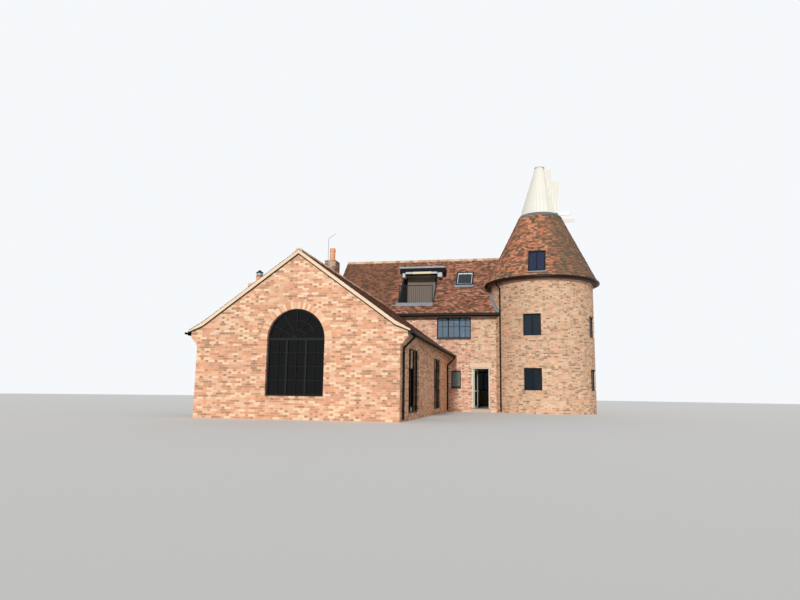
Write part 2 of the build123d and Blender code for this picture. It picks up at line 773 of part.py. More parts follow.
tower_windows = [(tower_window_bearing, tower_window_z0), (tower_window_bearing, tower_upper_z0),
                 (tower_side_bearing, tower_window_z0), (tower_side_bearing, tower_upper_z0)]
tower_holes = [on_tower(bearing, z) * block(-tower_window_width / 2, tower_window_width / 2,
                                            -tower_wall, 2 * tower_wall, 0, tower_window_height)
               for bearing, z in tower_windows]
segment_arc = 360 / tower_segments
for index in range(tower_segments):
    segment = turned(wall_ring, segment_arc, index * segment_arc + segment_arc / 2)
    for hole in tower_holes:
        segment -= hole
    save(f"tower_wall_{index + 1}", segment)

sagitta = tower_radius - math.sqrt(tower_radius**2 - (tower_window_width / 2)**2)
for bearing, z in tower_windows:
    frame, panes = framed_window(tower_window_width, tower_window_height, 2, frame_face, frame_depth)
    place = on_tower(bearing, z) * Pos(0, sagitta + frame_reveal, 0)
    window_frames.append(place * frame)
    glass_panes.append(place * panes)
save("window_frames", *window_frames)

room_radius = tower_radius - tower_wall
tower_floors = [prism(room_radius, tower_roof_sides, z0, z1) for z0, z1 in (
    (0, ground_floor_z), (first_floor_z - floor_thickness, first_floor_z),
    (attic_floor_z - floor_thickness, attic_floor_z))]
save("tower_floors", *tower_floors)

# Conical roof: a shell open at the top, seated on the wall, with a window in its slope
cone_slope = math.atan2(tower_top_z - tower_eaves_z, tower_eaves_radius - tower_top_radius)
cone_wall = tower_roof_thickness / math.sin(cone_slope)
cone_shell = frustum(tower_eaves_radius, tower_top_radius, tower_roof_sides, tower_eaves_z, tower_top_z)
cone_inside = frustum(tower_eaves_radius - cone_wall, tower_top_radius - cone_wall, tower_roof_sides,
                      tower_eaves_z, tower_top_z)
cone_shell += prism(tower_eaves_radius, tower_roof_sides, tower_wall_top_z, tower_eaves_z)
cone_shell -= cone_inside + prism(room_radius, tower_roof_sides, tower_wall_top_z, tower_eaves_z)
cone_pitch = math.degrees(cone_slope)
cone_window_z = tower_eaves_z + cone_window_from_eaves * math.sin(cone_slope)
cone_window_plane = (Rot(0, 0, cone_window_bearing + 90)
                     * Pos(0, -tower_cone_radius(cone_window_z), cone_window_z) * Rot(cone_pitch, 0, 0))
cone_window_hole = cone_window_plane * block(
    -cone_window_width / 2, cone_window_width / 2, 0, cone_window_length,
    -cone_cut_inward, cone_cut_outward)
save("tower_roof", cone_shell - cone_window_hole)

chord_drop = tower_cone_radius(cone_window_z) - math.sqrt(
    tower_cone_radius(cone_window_z)**2 - (cone_window_width / 2)**2)
cone_frame_in = Pos(0, 0, -chord_drop)
cone_frame = block(-cone_window_width / 2, cone_window_width / 2, 0, cone_window_length,
                   -frame_depth, chord_drop + frame_depth / 2)
light_width = (cone_window_width - 3 * frame_face) / 2
for side in (-1, 1):
    x_middle = side * (frame_face + light_width) / 2
    light = block(x_middle - light_width / 2, x_middle + light_width / 2, frame_face,
                  cone_window_length - frame_face, -far, far)
    cone_frame -= light
    glass_panes.append(cone_window_plane * cone_frame_in * (
        light & block(-far, far, -far, far, 0, glass_thickness)))
roof_frames.append(cone_window_plane * cone_frame_in * cone_frame)
save("roof_window_frames", *roof_frames)
save("window_glass", *glass_panes)

# Curb and cross beam that carry the cowl
curb_z1 = tower_top_z + curb_height
save("cowl_curb", prism(tower_top_radius, tower_roof_sides, tower_top_z, curb_z1)
     - prism(tower_top_radius - curb_ring_width, tower_roof_sides, tower_top_z, curb_z1))
beam_z1 = tower_top_z - beam_below_top
beam = block(-tower_radius, tower_radius, -beam_width / 2, beam_width / 2,
             beam_z1 - beam_depth, beam_z1) & cone_inside
socket_radius = spindle_radius + bearing_gap
beam += turned([(socket_radius, beam_z1), (socket_radius + bearing_wall, beam_z1),
                (socket_radius + bearing_wall, beam_z1 + bearing_height),
                (socket_radius, beam_z1 + bearing_height)])
save("cowl_beam", beam)

# Cowl: slanted boarded cone, its mouth between two stepped cheeks, and the finger boards
cowl_z0 = curb_z1 + cowl_gap
cowl_z1 = cowl_z0 + cowl_height
ring_z1 = cowl_z0 + cowl_ring_height
ring_inner_radius = cowl_base_radius - 2 * cowl_board
cowl_turn = Rot(0, 0, cowl_bearing)


def cowl_cone(inset):
    return frustum(cowl_base_radius - inset, cowl_top_radius - inset, cowl_sides, cowl_z0, cowl_z1,
                   cowl_top_shift)


def cone_edge(z, offset_share):
    """Where the cone's face stands at a cheek's offset from the cowl's middle."""
    share = z / cowl_height
    radius = cowl_base_radius + share * (cowl_top_radius - cowl_base_radius)
    offset = cheek_base_offset + share * (cheek_top_offset - cheek_base_offset)
    return share * cowl_top_shift + offset_share * math.sqrt(radius**2 - offset**2)


mouth_cut = along_y([(cone_edge(0, 1), cowl_z0), (far, cowl_z0), (far, cowl_z1),
                     (cone_edge(cowl_height, 1), cowl_z1)], -far, far)
hood = cowl_cone(0) - cowl_cone(cowl_board) - mouth_cut
inside_ring = prism(ring_inner_radius, cowl_sides, cowl_z0, ring_z1)
base_ring = prism(cowl_base_radius, cowl_sides, cowl_z0, ring_z1) - inside_ring
ring_outside = base_ring & (cowl_cone(0) + mouth_cut)
cowl_hood = hood + ring_outside

cap_radius_outer = cowl_top_radius + cowl_cap_lip
cap = prism(cap_radius_outer, cowl_sides, cowl_z1, cowl_z1 + cowl_cap_lip)
cap += frustum(cap_radius_outer, cap_radius_outer / 2, cowl_sides, cowl_z1 + cowl_cap_lip,
               cowl_z1 + cowl_cap_rise)
cap = Pos(cowl_top_shift, 0, 0) * cap
save("cowl_hood", cowl_turn * (cowl_hood + cap))

cheek_lean = math.atan2(cheek_base_offset - cheek_top_offset, cowl_height)


def cheek_plane(side, outward):
    """A cheek's plane: local x along the mouth, local y up its leaning face."""
    shift = outward / math.cos(cheek_lean)
    return Plane(origin=(0, side * (cheek_base_offset + shift), cowl_z0), x_dir=(1, 0, 0),
                 z_dir=(0, side * math.cos(cheek_lean), math.sin(cheek_lean)))


def up_cheek(side, z):
    """Local height on the cheek's plane; it runs downwards on the +Y side."""
    return -side * z / math.cos(cheek_lean)


# Each finger board hangs below the cowl, clear of the tower's roof, with a tongue lapped on its cheek
finger_z0 = -finger_drop
finger_z1 = finger_z0 + finger_height
finger_foot_radius = (tower_top_radius + (finger_drop + tower_top_z - cowl_z0) / math.tan(cone_slope)
                      + finger_roof_gap)
finger_start = math.sqrt(finger_foot_radius**2 - (cheek_base_offset + cheek_thickness)**2)
cheeks = []
fingers = []
for side, finger_tip in zip((-1, 1), finger_tips):
    outline = [(cone_edge(0, 0), 0), (cheek_foot_reach, 0), (cheek_step_reach, cheek_step_z),
               (cheek_head_reach, cheek_step_z), (cheek_head_reach, cheek_head_z),
               (cone_edge(cheek_head_z, 0), cheek_head_z)]
    points = [(x, up_cheek(side, z)) for x, z in outline]
    normal = (0, side * math.cos(cheek_lean), math.sin(cheek_lean))
    board = extrude(cheek_plane(side, 0) * Polygon(*points, align=None),
                    amount=cheek_thickness, dir=normal)
    cheek = (board - cowl_cone(0) - cowl_hood - cap).solids().sort_by(SortBy.VOLUME)[-1]
    cheeks.append(cowl_turn * cheek)
    finger_outline = [(finger_start, finger_z0), (finger_tip, finger_z0),
                      (finger_tip - finger_notch, (finger_z0 + finger_z1) / 2),
                      (finger_tip, finger_z1), (cone_edge(0, 1), finger_z1), (cone_edge(0, 1), 0),
                      (finger_start, 0)]
    finger_points = [(x, up_cheek(side, z)) for x, z in finger_outline]
    finger = extrude(cheek_plane(side, cheek_thickness) * Polygon(*finger_points, align=None),
                     amount=cheek_thickness, dir=normal)
    fingers.append(cowl_turn * finger)
save("cowl_cheeks", *cheeks)
save("cowl_fingers", *fingers)

spindle_z0 = beam_z1 + spindle_foot_gap
spindle = Pos(0, 0, spindle_z0) * Cylinder(spindle_radius, cowl_z1 - spindle_z0, align=upright)
arm = block(-cowl_base_radius, cowl_base_radius, -spindle_radius / 2, spindle_radius / 2, cowl_z0, ring_z1)
save("cowl_spindle", cowl_turn * (spindle + ((arm + Rot(0, 0, 90) * arm) & inside_ring)))


# Chimneys: brick stacks with sloping mortar tops, their pots and the capped flue terminal
def mortar_top(x0, x1, y0, y1, z1, foot_radius):
    """The mortar that slopes from a stack's edges up to the foot of its pot."""
    x = (x0 + x1) / 2
    y = (y0 + y1) / 2
    corners = ((-1, -1), (1, -1), (1, 1), (-1, 1))
    foot = [(x + i * (x1 - x0) / 2, y + j * (y1 - y0) / 2, z1) for i, j in corners]
    head = [(x + i * foot_radius, y + j * foot_radius, z1 + flaunching_height) for i, j in corners]
    return between(foot, head)


wing_flaunching = mortar_top(wing_stack_x0, wing_stack_x1, wing_stack_y0, wing_stack_y1,
                             wing_stack_top_z, 2 * wing_pot_radius)
gable_flaunching = mortar_top(main_left_x - gable_stack_width, main_left_x, gable_stack_y0,
                              gable_stack_y1, gable_stack_top_z, gable_pot_foot_radius)
save("wing_chimney", wing_stack + wing_flaunching)
save("gable_chimney", gable_stack + gable_flaunching)

wing_pot_place = Pos((wing_stack_x0 + wing_stack_x1) / 2, (wing_stack_y0 + wing_stack_y1) / 2,
                     wing_stack_top_z + flaunching_height)
gable_pot_place = Pos(main_left_x - gable_stack_width / 2, (gable_stack_y0 + gable_stack_y1) / 2,
                      gable_stack_top_z + flaunching_height)
save("chimney_pots", wing_pot_place * prism(wing_pot_radius, pot_sides, 0, wing_pot_height),
     gable_pot_place * frustum(gable_pot_foot_radius, gable_pot_top_radius, pot_sides, 0, gable_pot_height))
cap_place = wing_pot_place * Pos(0, 0, wing_pot_height)
cap_cone = frustum(cap_radius, cap_tip_radius, pot_sides, cap_gauze_height,
                   cap_gauze_height + cap_cone_height)
save("flue_cap", cap_place * (prism(cap_gauze_radius, pot_sides, 0, cap_gauze_height) + cap_cone))

mast_x = main_left_x - gable_stack_width / 2
mast_place = Pos(mast_x, gable_stack_y0 - mast_radius, gable_stack_top_z - mast_height / 2)
mast = Cylinder(mast_radius, mast_height, align=upright)
boom = Pos(0, 0, mast_height - mast_radius) * Rot(0, 90, 0) * Cylinder(
    mast_radius / 2, boom_length, align=upright)
save("aerial_mast", mast_place * (mast + boom))

# Gutters on fascia boards, and downpipes
gutter_profile = Pos(0, -gutter_depth / 2) * Rectangle(gutter_width, gutter_depth) - (
    Pos(0, (gutter_wall - gutter_depth) / 2) * Rectangle(
        gutter_width - 2 * gutter_wall, gutter_depth - gutter_wall))
pipe_out = pipe_radius + pipe_wall_gap
pipe_bearing = math.pi - math.asin(
    (main_front_y - main_overhang - tower_pipe_before_eaves) / (tower_radius + pipe_out))
pipe_x = (tower_radius + pipe_out) * math.cos(pipe_bearing)
pipe_y = (tower_radius + pipe_out) * math.sin(pipe_bearing)
past_tower_pipe = block(pipe_x - pipe_out, far, -far, main_ridge_y, 0, far)
gutters = []
fascias = []
for side in (-1, 1):
    edge_x = wing_axis_x + side * wing_eaves_reach
    fascia_x = sorted((edge_x, edge_x + side * fascia_thickness))
    z1 = wing_top(wing_eaves_reach) - fascia_below_edge
    fascia = block(fascia_x[0], fascia_x[1], wing_front_y - wing_verge_overhang, main_front_y,
                   z1 - fascia_height, z1)
    gutter_x = edge_x + side * (fascia_thickness + gutter_width / 2)
    face = Pos(gutter_x, wing_front_y - wing_verge_overhang, z1 - gutter_drop) * (
        Plane.XZ * gutter_profile)
    gutter = extrude(face, amount=wing_length + wing_verge_overhang, dir=(0, 1, 0))
    if side < 0:
        fascia -= wing_stack
        gutter -= wing_stack
    fascias.append(fascia)
    gutters.append(gutter)
for side in (-1, 1):
    edge_y = main_ridge_y + side * (main_depth / 2 + main_overhang)
    z1 = main_top(edge_y) - fascia_below_edge
    fascia_y = sorted((edge_y, edge_y + side * fascia_thickness))
    fascia = block(roof_left_x, 0, fascia_y[0], fascia_y[1], z1 - fascia_height, z1)
    face = Pos(roof_left_x, edge_y + side * (fascia_thickness + gutter_width / 2), z1 - gutter_drop) * (
        Plane.YZ * gutter_profile)
    gutter = extrude(face, amount=-roof_left_x, dir=(1, 0, 0))
    if side < 0:
        fascia = fascia - wing_under_roof - tower_volume
        gutter = gutter - wing_under_roof - tower_volume - past_tower_pipe
    fascias.append(fascia)
    gutters.append(gutter)
save("fascia_boards", *fascias)

tower_gutter_z1 = tower_eaves_z - gutter_drop
tower_gutter_z0 = tower_gutter_z1 - gutter_depth
tower_gutter = prism(tower_eaves_radius + gutter_width, tower_roof_sides, tower_gutter_z0, tower_gutter_z1)
tower_gutter -= prism(tower_eaves_radius, tower_roof_sides, tower_gutter_z0, tower_gutter_z1)
tower_gutter -= (prism(tower_eaves_radius + gutter_width - gutter_wall, tower_roof_sides,
                       tower_gutter_z0 + gutter_wall, tower_gutter_z1)
                 - prism(tower_eaves_radius + gutter_wall, tower_roof_sides, tower_gutter_z0,
                         tower_gutter_z1))
main_keep_out = along_x([(main_front_y - main_overhang - gutter_clearance, 0)]
                        + [(y, main_top(y) + gutter_drop) for y in (
                            main_front_y - main_overhang - gutter_clearance, main_ridge_y,
                            main_back_y + main_overhang + gutter_clearance)]
                        + [(main_back_y + main_overhang + gutter_clearance, 0)], -far, 0)
gutters.append(tower_gutter - main_keep_out)
save("gutters", *gutters)


def downpipe(gutter_x, gutter_y, gutter_foot_z, x, y):
    """A pipe from under a gutter, bent back to the wall and down to the ground."""
    bend_z = gutter_foot_z - 2 * pipe_radius
    offset = math.hypot(x - gutter_x, y - gutter_y)
    path = Polyline((gutter_x, gutter_y, gutter_foot_z), (gutter_x, gutter_y, bend_z),
                    (x, y, bend_z - offset), (x, y, pipe_ground_gap))
    section = Plane(origin=(gutter_x, gutter_y, gutter_foot_z), z_dir=(0, 0, -1)) * RegularPolygon(
        pipe_radius, pipe_sides)
    return sweep(section, path=path, transition=Transition.RIGHT)


wing_gutter_foot = wing_top(wing_eaves_reach) - fascia_below_edge - gutter_drop - gutter_depth
downpipes = []
for side in (-1, 1):
    x = wing_axis_x + side * (wing_width / 2 + pipe_out)
    gutter_x = wing_axis_x + side * (wing_eaves_reach + fascia_thickness + gutter_width / 2)
    for y in (wing_front_y + wing_pipe_behind_gable, main_front_y - wing_pipe_behind_gable):
        downpipes.append(downpipe(gutter_x, y, wing_gutter_foot, x, y))
spout_radius = tower_eaves_radius + gutter_width / 2
downpipes.append(downpipe(spout_radius * math.cos(pipe_bearing), spout_radius * math.sin(pipe_bearing),
                          tower_gutter_z0, pipe_x, pipe_y))
save("downpipes", *downpipes)
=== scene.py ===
import math
import random

import bpy
from mathutils import Matrix, Vector


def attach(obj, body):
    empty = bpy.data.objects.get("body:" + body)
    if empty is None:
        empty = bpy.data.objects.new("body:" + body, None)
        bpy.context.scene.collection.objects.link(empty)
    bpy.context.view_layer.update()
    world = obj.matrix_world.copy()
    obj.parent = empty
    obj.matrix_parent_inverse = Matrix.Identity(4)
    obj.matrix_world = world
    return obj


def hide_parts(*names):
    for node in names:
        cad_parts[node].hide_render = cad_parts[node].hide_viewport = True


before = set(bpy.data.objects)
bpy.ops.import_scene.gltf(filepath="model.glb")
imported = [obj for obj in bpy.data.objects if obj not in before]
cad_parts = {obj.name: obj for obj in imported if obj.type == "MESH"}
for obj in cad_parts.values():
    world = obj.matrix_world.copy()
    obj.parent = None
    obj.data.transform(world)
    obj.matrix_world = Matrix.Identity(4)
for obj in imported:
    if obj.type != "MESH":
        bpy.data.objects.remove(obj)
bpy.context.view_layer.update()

# The view: taken from the lawn in front of the gable, a little right of the building's middle.
# The lens and the stand are the photograph's own, found from the building's edges.
lens_width = 36.0
lens_length = 27.557
eye = Vector((-1.067, -32.168, 0.891))
turned_left, tilted_up, leaning = 0.1962, 0.1505, 0.0137

level_right = Vector((math.cos(turned_left), math.sin(turned_left), 0))
sight = Vector((-math.sin(turned_left), math.cos(turned_left), math.tan(tilted_up))).normalized()
level_up = level_right.cross(sight)
view_right = level_right * math.cos(leaning) + level_up * math.sin(leaning)
view_up = level_up * math.cos(leaning) - level_right * math.sin(leaning)
camera = bpy.data.objects.new("camera", bpy.data.cameras.new("camera"))
camera.data.sensor_width = lens_width
camera.data.lens = lens_length
camera.data.clip_end = 500
camera.matrix_world = Matrix.Translation(eye) @ Matrix((view_right, view_up, -sight)).transposed().to_4x4()
bpy.context.scene.collection.objects.link(camera)
bpy.context.scene.camera = camera
bpy.context.scene.view_settings.view_transform = "Standard"

# The light: a soft key from behind the camera, square to the gable, a faint wide one from beyond,
# and an even surround. A pale floor carries the shadow.
for name, travels, strength, softness in (
    ("key light", (0.0, 0.92, -0.36), 1.97, 5),
    ("far light", (0.05, -0.9, -0.4), 0.45, 60),
):
    lamp = bpy.data.objects.new(name, bpy.data.lights.new(name, "SUN"))
    lamp.data.energy = strength
    lamp.data.angle = math.radians(softness)
    lamp.rotation_euler = Vector(travels).to_track_quat("-Z", "Y").to_euler()
    bpy.context.scene.collection.objects.link(lamp)


def add_node(tree, kind, settings=(), **feeds):
    """A shader node. Settings are its own options; feeds are its inputs, each a value or an output."""
    made = tree.nodes.new("ShaderNode" + kind)
    for key, value in dict(settings).items():
        setattr(made, key, value)
    for key, value in feeds.items():
        socket = made.inputs[key.replace("_", " ")]
        if isinstance(value, bpy.types.NodeSocket):
            tree.links.new(value, socket)
        else:
            socket.default_value = value
    return made


def maths(tree, operation, *values):
    """The output of a Math node fed by numbers and outputs in turn."""
    made = add_node(tree, "Math", {"operation": operation})
    for socket, value in zip(made.inputs, values):
        if isinstance(value, bpy.types.NodeSocket):
            tree.links.new(value, socket)
        else:
            socket.default_value = value
    return made.outputs[0]


surround = bpy.data.worlds.new("surround")
surround.use_nodes = True
bpy.context.scene.world = surround
sky = surround.node_tree
sky.nodes["Background"].inputs["Color"].default_value = (1, 1, 1, 1)
sky.nodes["Background"].inputs["Strength"].default_value = 0.34
backdrop = add_node(sky, "Background", Color=(0.92, 0.94, 0.96, 1), Strength=1.0)
rays = add_node(sky, "LightPath")
seen = maths(sky, "MAXIMUM", rays.outputs["Is Camera Ray"], rays.outputs["Is Glossy Ray"])
seen = maths(sky, "MAXIMUM", seen, rays.outputs["Is Transmission Ray"])
both = add_node(sky, "MixShader", Fac=seen)
sky.links.new(sky.nodes["Background"].outputs[0], both.inputs[1])
sky.links.new(backdrop.outputs[0], both.inputs[2])
sky.links.new(both.outputs[0], sky.nodes["World Output"].inputs["Surface"])

bpy.ops.object.select_all(action="DESELECT")
bpy.ops.mesh.primitive_circle_add(vertices=96, radius=90, fill_type="NGON", location=(-4, -4, -0.001))
floor = bpy.context.object
floor.name = "floor"
floor_finish = bpy.data.materials.new("floor")
floor_finish.use_nodes = True
floor_finish.node_tree.nodes["Principled BSDF"].inputs["Base Color"].default_value = (0.82, 0.82, 0.81, 1)
floor_finish.node_tree.nodes["Principled BSDF"].inputs["Roughness"].default_value = 0.9
floor.data.materials.append(floor_finish)

# The wing's walls: new multi-coloured stock bricks on pale mortar, 75 mm to a course, with a header
# after each stretcher. Each brick is a block of its own, a little proud of the mortar behind it.
brick_gauge = 0.075
brick_joint = 0.010
brick_relief = 0.006
header_bond = (0.225, 0.1125)
header_burn = 0.72
least_width, least_area = 0.02, 0.0008
opening_lap, hair = 0.003, 0.001
wing_axis_x, wing_half, wing_front_y, main_front_y = -8.15, 3.42, -13.6, -1.12
wing_ridge_z, wing_slope, wing_bend, wing_reach = 5.485, 0.72654, 3.26, 3.74
sprocket_slope, soffit_slope = 0.55431, 0.40403
wing_roof_drop = 0.1236
kneeler_z, kneeler_step, kneeler_steps = 2.41, 0.058, 4
arch_half, arch_sill_z, arch_spring_z, arch_ring = 0.975, 0.74, 2.56, 1.195
voussoirs, ring_joint = 41, 0.008
side_openings = ((-12.1, -10.05), (-6.1, -4.05))
side_sill_z, side_head_z = 0.22, 2.41


def paint(red, green, blue):
    """A colour as it looks on a screen, in the shader's own scale."""
    scaled = [channel / 255 for channel in (red, green, blue)]
    return (*[c / 12.92 if c <= 0.04045 else ((c + 0.055) / 1.055) ** 2.4 for c in scaled], 1)


def make_weathered():
    """A shared effect: fine grain and broad patches that lighten and darken a colour."""
    group = bpy.data.node_groups.new("weathered", "ShaderNodeTree")
    for name, kind, value in (
        ("Colour", "NodeSocketColor", (0.5, 0.5, 0.5, 1)),
        ("Grain Scale", "NodeSocketFloat", 60.0),
        ("Grain", "NodeSocketFloat", 0.1),
        ("Patch Scale", "NodeSocketFloat", 0.8),
        ("Patch", "NodeSocketFloat", 0.1),
    ):
        group.interface.new_socket(name, in_out="INPUT", socket_type=kind).default_value = value
    group.interface.new_socket("Colour", in_out="OUTPUT", socket_type="NodeSocketColor")
    group.interface.new_socket("Height", in_out="OUTPUT", socket_type="NodeSocketFloat")
    given = group.nodes.new("NodeGroupInput")
    result = group.nodes.new("NodeGroupOutput")
    place = add_node(group, "TexCoord").outputs["Object"]
    shade = 1.0
    for scale, amount, detail in (("Grain Scale", "Grain", 4.0), ("Patch Scale", "Patch", 3.0)):
        noise = add_node(group, "TexNoise", Vector=place, Scale=given.outputs[scale], Detail=detail)
        if scale == "Grain Scale":
            group.links.new(noise.outputs["Fac"], result.inputs["Height"])
        swing = maths(group, "MULTIPLY", maths(group, "SUBTRACT", noise.outputs["Fac"], 0.5), 4.0)
        swing = maths(group, "MULTIPLY_ADD", swing, given.outputs[amount], 1.0)
        shade = maths(group, "MULTIPLY", swing, shade)
    colour = given.outputs["Colour"]
    scaled = add_node(group, "VectorMath", {"operation": "SCALE"}, Vector=colour, Scale=shade)
    group.links.new(scaled.outputs[0], result.inputs["Colour"])
    return group


weathered = make_weathered()


def weather(tree, colour, grain_scale, grain, patch_scale, patch):
    """The shared effect placed in a material. Gives its colour and height outputs."""
    made = tree.nodes.new("ShaderNodeGroup")
    made.node_tree = weathered
    feeds = {"Colour": colour, "Grain Scale": grain_scale, "Grain": grain}
    feeds.update({"Patch Scale": patch_scale, "Patch": patch})
    for key, value in feeds.items():
        if isinstance(value, bpy.types.NodeSocket):
            tree.links.new(value, made.inputs[key])
        else:
            made.inputs[key].default_value = value
    return made.outputs["Colour"], made.outputs["Height"]


def roughen(tree, height, depth):
    """A bump of that depth in metres, fed to the material's shader."""
    bump = add_node(tree, "Bump", Height=height, Distance=depth, Strength=1.0)
    tree.links.new(bump.outputs["Normal"], tree.nodes["Principled BSDF"].inputs["Normal"])


def plain_finish(name, colour, roughness, metallic=0.0, grain=(80.0, 0.05), patch=(0.8, 0.05), depth=0.0005,
                 gloss=0.5):
    """A finish of one colour, with the grain and patches of its age."""
    material = bpy.data.materials.new(name)
    material.use_nodes = True
    tree = material.node_tree
    shader = tree.nodes["Principled BSDF"]
    shader.inputs["Roughness"].default_value = roughness
    shader.inputs["Metallic"].default_value = metallic
    shader.inputs["Specular IOR Level"].default_value = gloss
    shade, height = weather(tree, paint(*colour), *grain, *patch)
    tree.links.new(shade, shader.inputs["Base Color"])
    roughen(tree, height, depth)
    return material


def fired_clay(name, tones, grain=(55.0, 0.07), patch=(0.7, 0.08), depth=0.0015, drift=(1.0, 0.0),
               lichen=None):
    """Brick or tile. Tones are (share, colour) pairs; each block takes one by its own number,
    which drifts in clusters of a scale and by an amount."""
    material = bpy.data.materials.new(name)
    material.use_nodes = True
    tree = material.node_tree
    shader = tree.nodes["Principled BSDF"]
    shader.inputs["Roughness"].default_value = 0.85
    place = add_node(tree, "TexCoord").outputs["Object"]
    own = add_node(tree, "Attribute", {"attribute_name": "tone"}).outputs["Fac"]
    for scale, amount in ((9.0, 0.25), drift):
        cloud = add_node(tree, "TexNoise", Vector=place, Scale=scale, Detail=2.0).outputs["Fac"]
        own = maths(tree, "ADD", own, maths(tree, "MULTIPLY", maths(tree, "SUBTRACT", cloud, 0.5), amount))
    ramp = add_node(tree, "ValToRGB", Fac=own)
    reached = 0.0
    steps = ramp.color_ramp.elements
    steps.remove(steps[1])
    for index, (share, colour) in enumerate(tones):
        step = steps[0] if index == 0 else steps.new(reached + share * 0.3)
        step.position = reached + share * 0.3
        step.color = paint(*colour)
        steps.new(reached + share * 0.7).color = paint(*colour)
        reached += share
    shade, height = weather(tree, ramp.outputs["Color"], *grain, *patch)
    if lichen:
        growth = add_node(tree, "TexNoise", Vector=place, Scale=lichen[1], Detail=5.0, Roughness=0.65)
        spread = add_node(tree, "MapRange", Value=growth.outputs["Fac"])
        spread.inputs["From Min"].default_value = lichen[2]
        spread.inputs["From Max"].default_value = lichen[2] + 0.12
        spread.inputs["To Max"].default_value = lichen[3]
        mixed = add_node(tree, "MixRGB", Fac=spread.outputs["Result"], Color1=shade, Color2=paint(*lichen[0]))
        shade = mixed.outputs["Color"]
    tree.links.new(shade, shader.inputs["Base Color"])
    roughen(tree, height, depth)
    return material


def finish_node(material, *names):
    """Gives CAD nodes their finish."""
    for name in names:
        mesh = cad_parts[name].data
        mesh.materials.clear()
        mesh.materials.append(material)


def dress(piece, name, material, body="house"):
    """Names a new piece, gives it its finish and has it ride on a body."""
    piece.name = name
    piece.data.name = name
    piece.data.materials.clear()
    piece.data.materials.append(material)
    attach(piece, body)
    return piece


def trim(outline, side):
    """The part of an outline where side(u, v) isn't negative."""
    kept = []
    for here, there in zip(outline, outline[1:] + outline[:1]):
        a, b = side(*here), side(*there)
        if a >= 0:
            kept.append(here)
        if (a >= 0) != (b >= 0):
            part = a / (a - b)
            kept.append(tuple(h + part * (t - h) for h, t in zip(here, there)))
    return kept


def leave_openings(outline, openings):
    """The outline's parts outside rectangular openings, and whether it touched one."""
    parts, touched = [outline], False
    for u0, u1, v0, v1 in openings:
        remaining = []
        for part in parts:
            us, vs = [p[0] for p in part], [p[1] for p in part]
            if min(us) >= u1 or max(us) <= u0 or min(vs) >= v1 or max(vs) <= v0:
                remaining.append(part)
                continue
            touched = True
            remaining.append(trim(part, lambda u, v: u0 - u))
            remaining.append(trim(part, lambda u, v: u - u1))
            middle = trim(trim(part, lambda u, v: u - u0), lambda u, v: u1 - u)
            remaining.append(trim(middle, lambda u, v: v0 - v) if middle else [])
            remaining.append(trim(middle, lambda u, v: v - v1) if middle else [])
        parts = [part for part in remaining if len(part) > 2]
    return parts, touched


def outline_area(outline):
    """The area that an outline encloses."""
    return abs(sum(a[0] * b[1] - b[0] * a[1] for a, b in zip(outline, outline[1:] + outline[:1]))) / 2


def flat_place(corner, along, up=(0, 0, 1)):
    """Turns (u, v, height) on a flat face into a place. Along and up run on the face."""
    corner, along, up = Vector(corner), Vector(along).normalized(), Vector(up).normalized()
    out = along.cross(up)
    return lambda u, v, height: corner + along * u + up * v + out * height


def lay(name, blocks, place, material, body="house"):
    """One mesh of many closed blocks, each given as (outline, heights, back, tone)."""
    points, faces, tones = [], [], []
    for outline, heights, back, tone in blocks:
        first, count = len(points), len(outline)
        points += [place(u, v, height) for (u, v), height in zip(outline, heights)]
        points += [place(u, v, back) for u, v in outline]
        faces.append(range(first, first + count))
        faces.append(range(first + 2 * count - 1, first + count - 1, -1))
        for i in range(count):
            j = (i + 1) % count
            faces.append((first + i, first + count + i, first + count + j, first + j))
        tones += [tone] * (2 * count)
    mesh = bpy.data.meshes.new(name)
    mesh.from_pydata(points, [], faces)
    mesh.attributes.new("tone", "FLOAT", "POINT").data.foreach_set("value", tones)
    piece = bpy.data.objects.new(name, mesh)
    bpy.context.scene.collection.objects.link(piece)
    return dress(piece, name, material, body)


def brick_wall(left, right, low, high, bond, seed, openings=(), cuts=(), reveal=0.06, phase=0,
               relief=brick_relief, ends=(brick_relief, brick_relief)):
    """Courses of bricks over a face, left out of its openings and cut back by its cuts."""
    draw = random.Random(seed)
    length = sum(bond)
    stretch = (right - left) / (length * round((right - left) / length))
    lap = opening_lap
    shrunk = [(u0 + lap, u1 - lap, v0 + lap, v1 - lap) for u0, u1, v0, v1 in openings]
    blocks = []
    for course in range(math.floor(low / brick_gauge), math.ceil(high / brick_gauge)):
        foot = brick_joint + course * brick_gauge
        head = foot + brick_gauge - brick_joint
        start = left - (length * stretch / 2 if (course + phase) % 2 else 0)
        while start < right - hair:
            for unit in bond:
                stop = start + unit * stretch
                u0 = start + brick_joint / 2 if start > left + hair else left - ends[0]
                u1 = stop - brick_joint / 2 if stop < right - hair else right + ends[1]
                start = stop
                tone, proud = draw.random(), relief + draw.uniform(-0.001, 0.001)
                tone *= header_burn if unit < bond[0] else 1
                if u1 - u0 < least_width or u0 > right:
                    continue
                outline = [(u0, foot), (u1, foot), (u1, head), (u0, head)]
                outline = trim(trim(outline, lambda u, v: v - low), lambda u, v: high - v)
                for cut in cuts:
                    outline = trim(outline, cut) if len(outline) > 2 else []
                if len(outline) < 3:
                    continue
                parts, touched = leave_openings(outline, shrunk)
                for part in parts:
                    if outline_area(part) > least_area:
                        blocks.append((part, [proud] * len(part), -reveal if touched else -0.002, tone))
    return blocks


def wing_top(from_axis, foot_slope=sprocket_slope):
    """Height of the wing roof's upper face."""
    far = abs(from_axis)
    return wing_ridge_z - min(far, wing_bend) * wing_slope - max(far - wing_bend, 0) * foot_slope


def wing_under(from_axis):
    """Height of the wing roof's lower face, which flattens more at its foot."""
    return wing_top(from_axis, soffit_slope) - wing_roof_drop


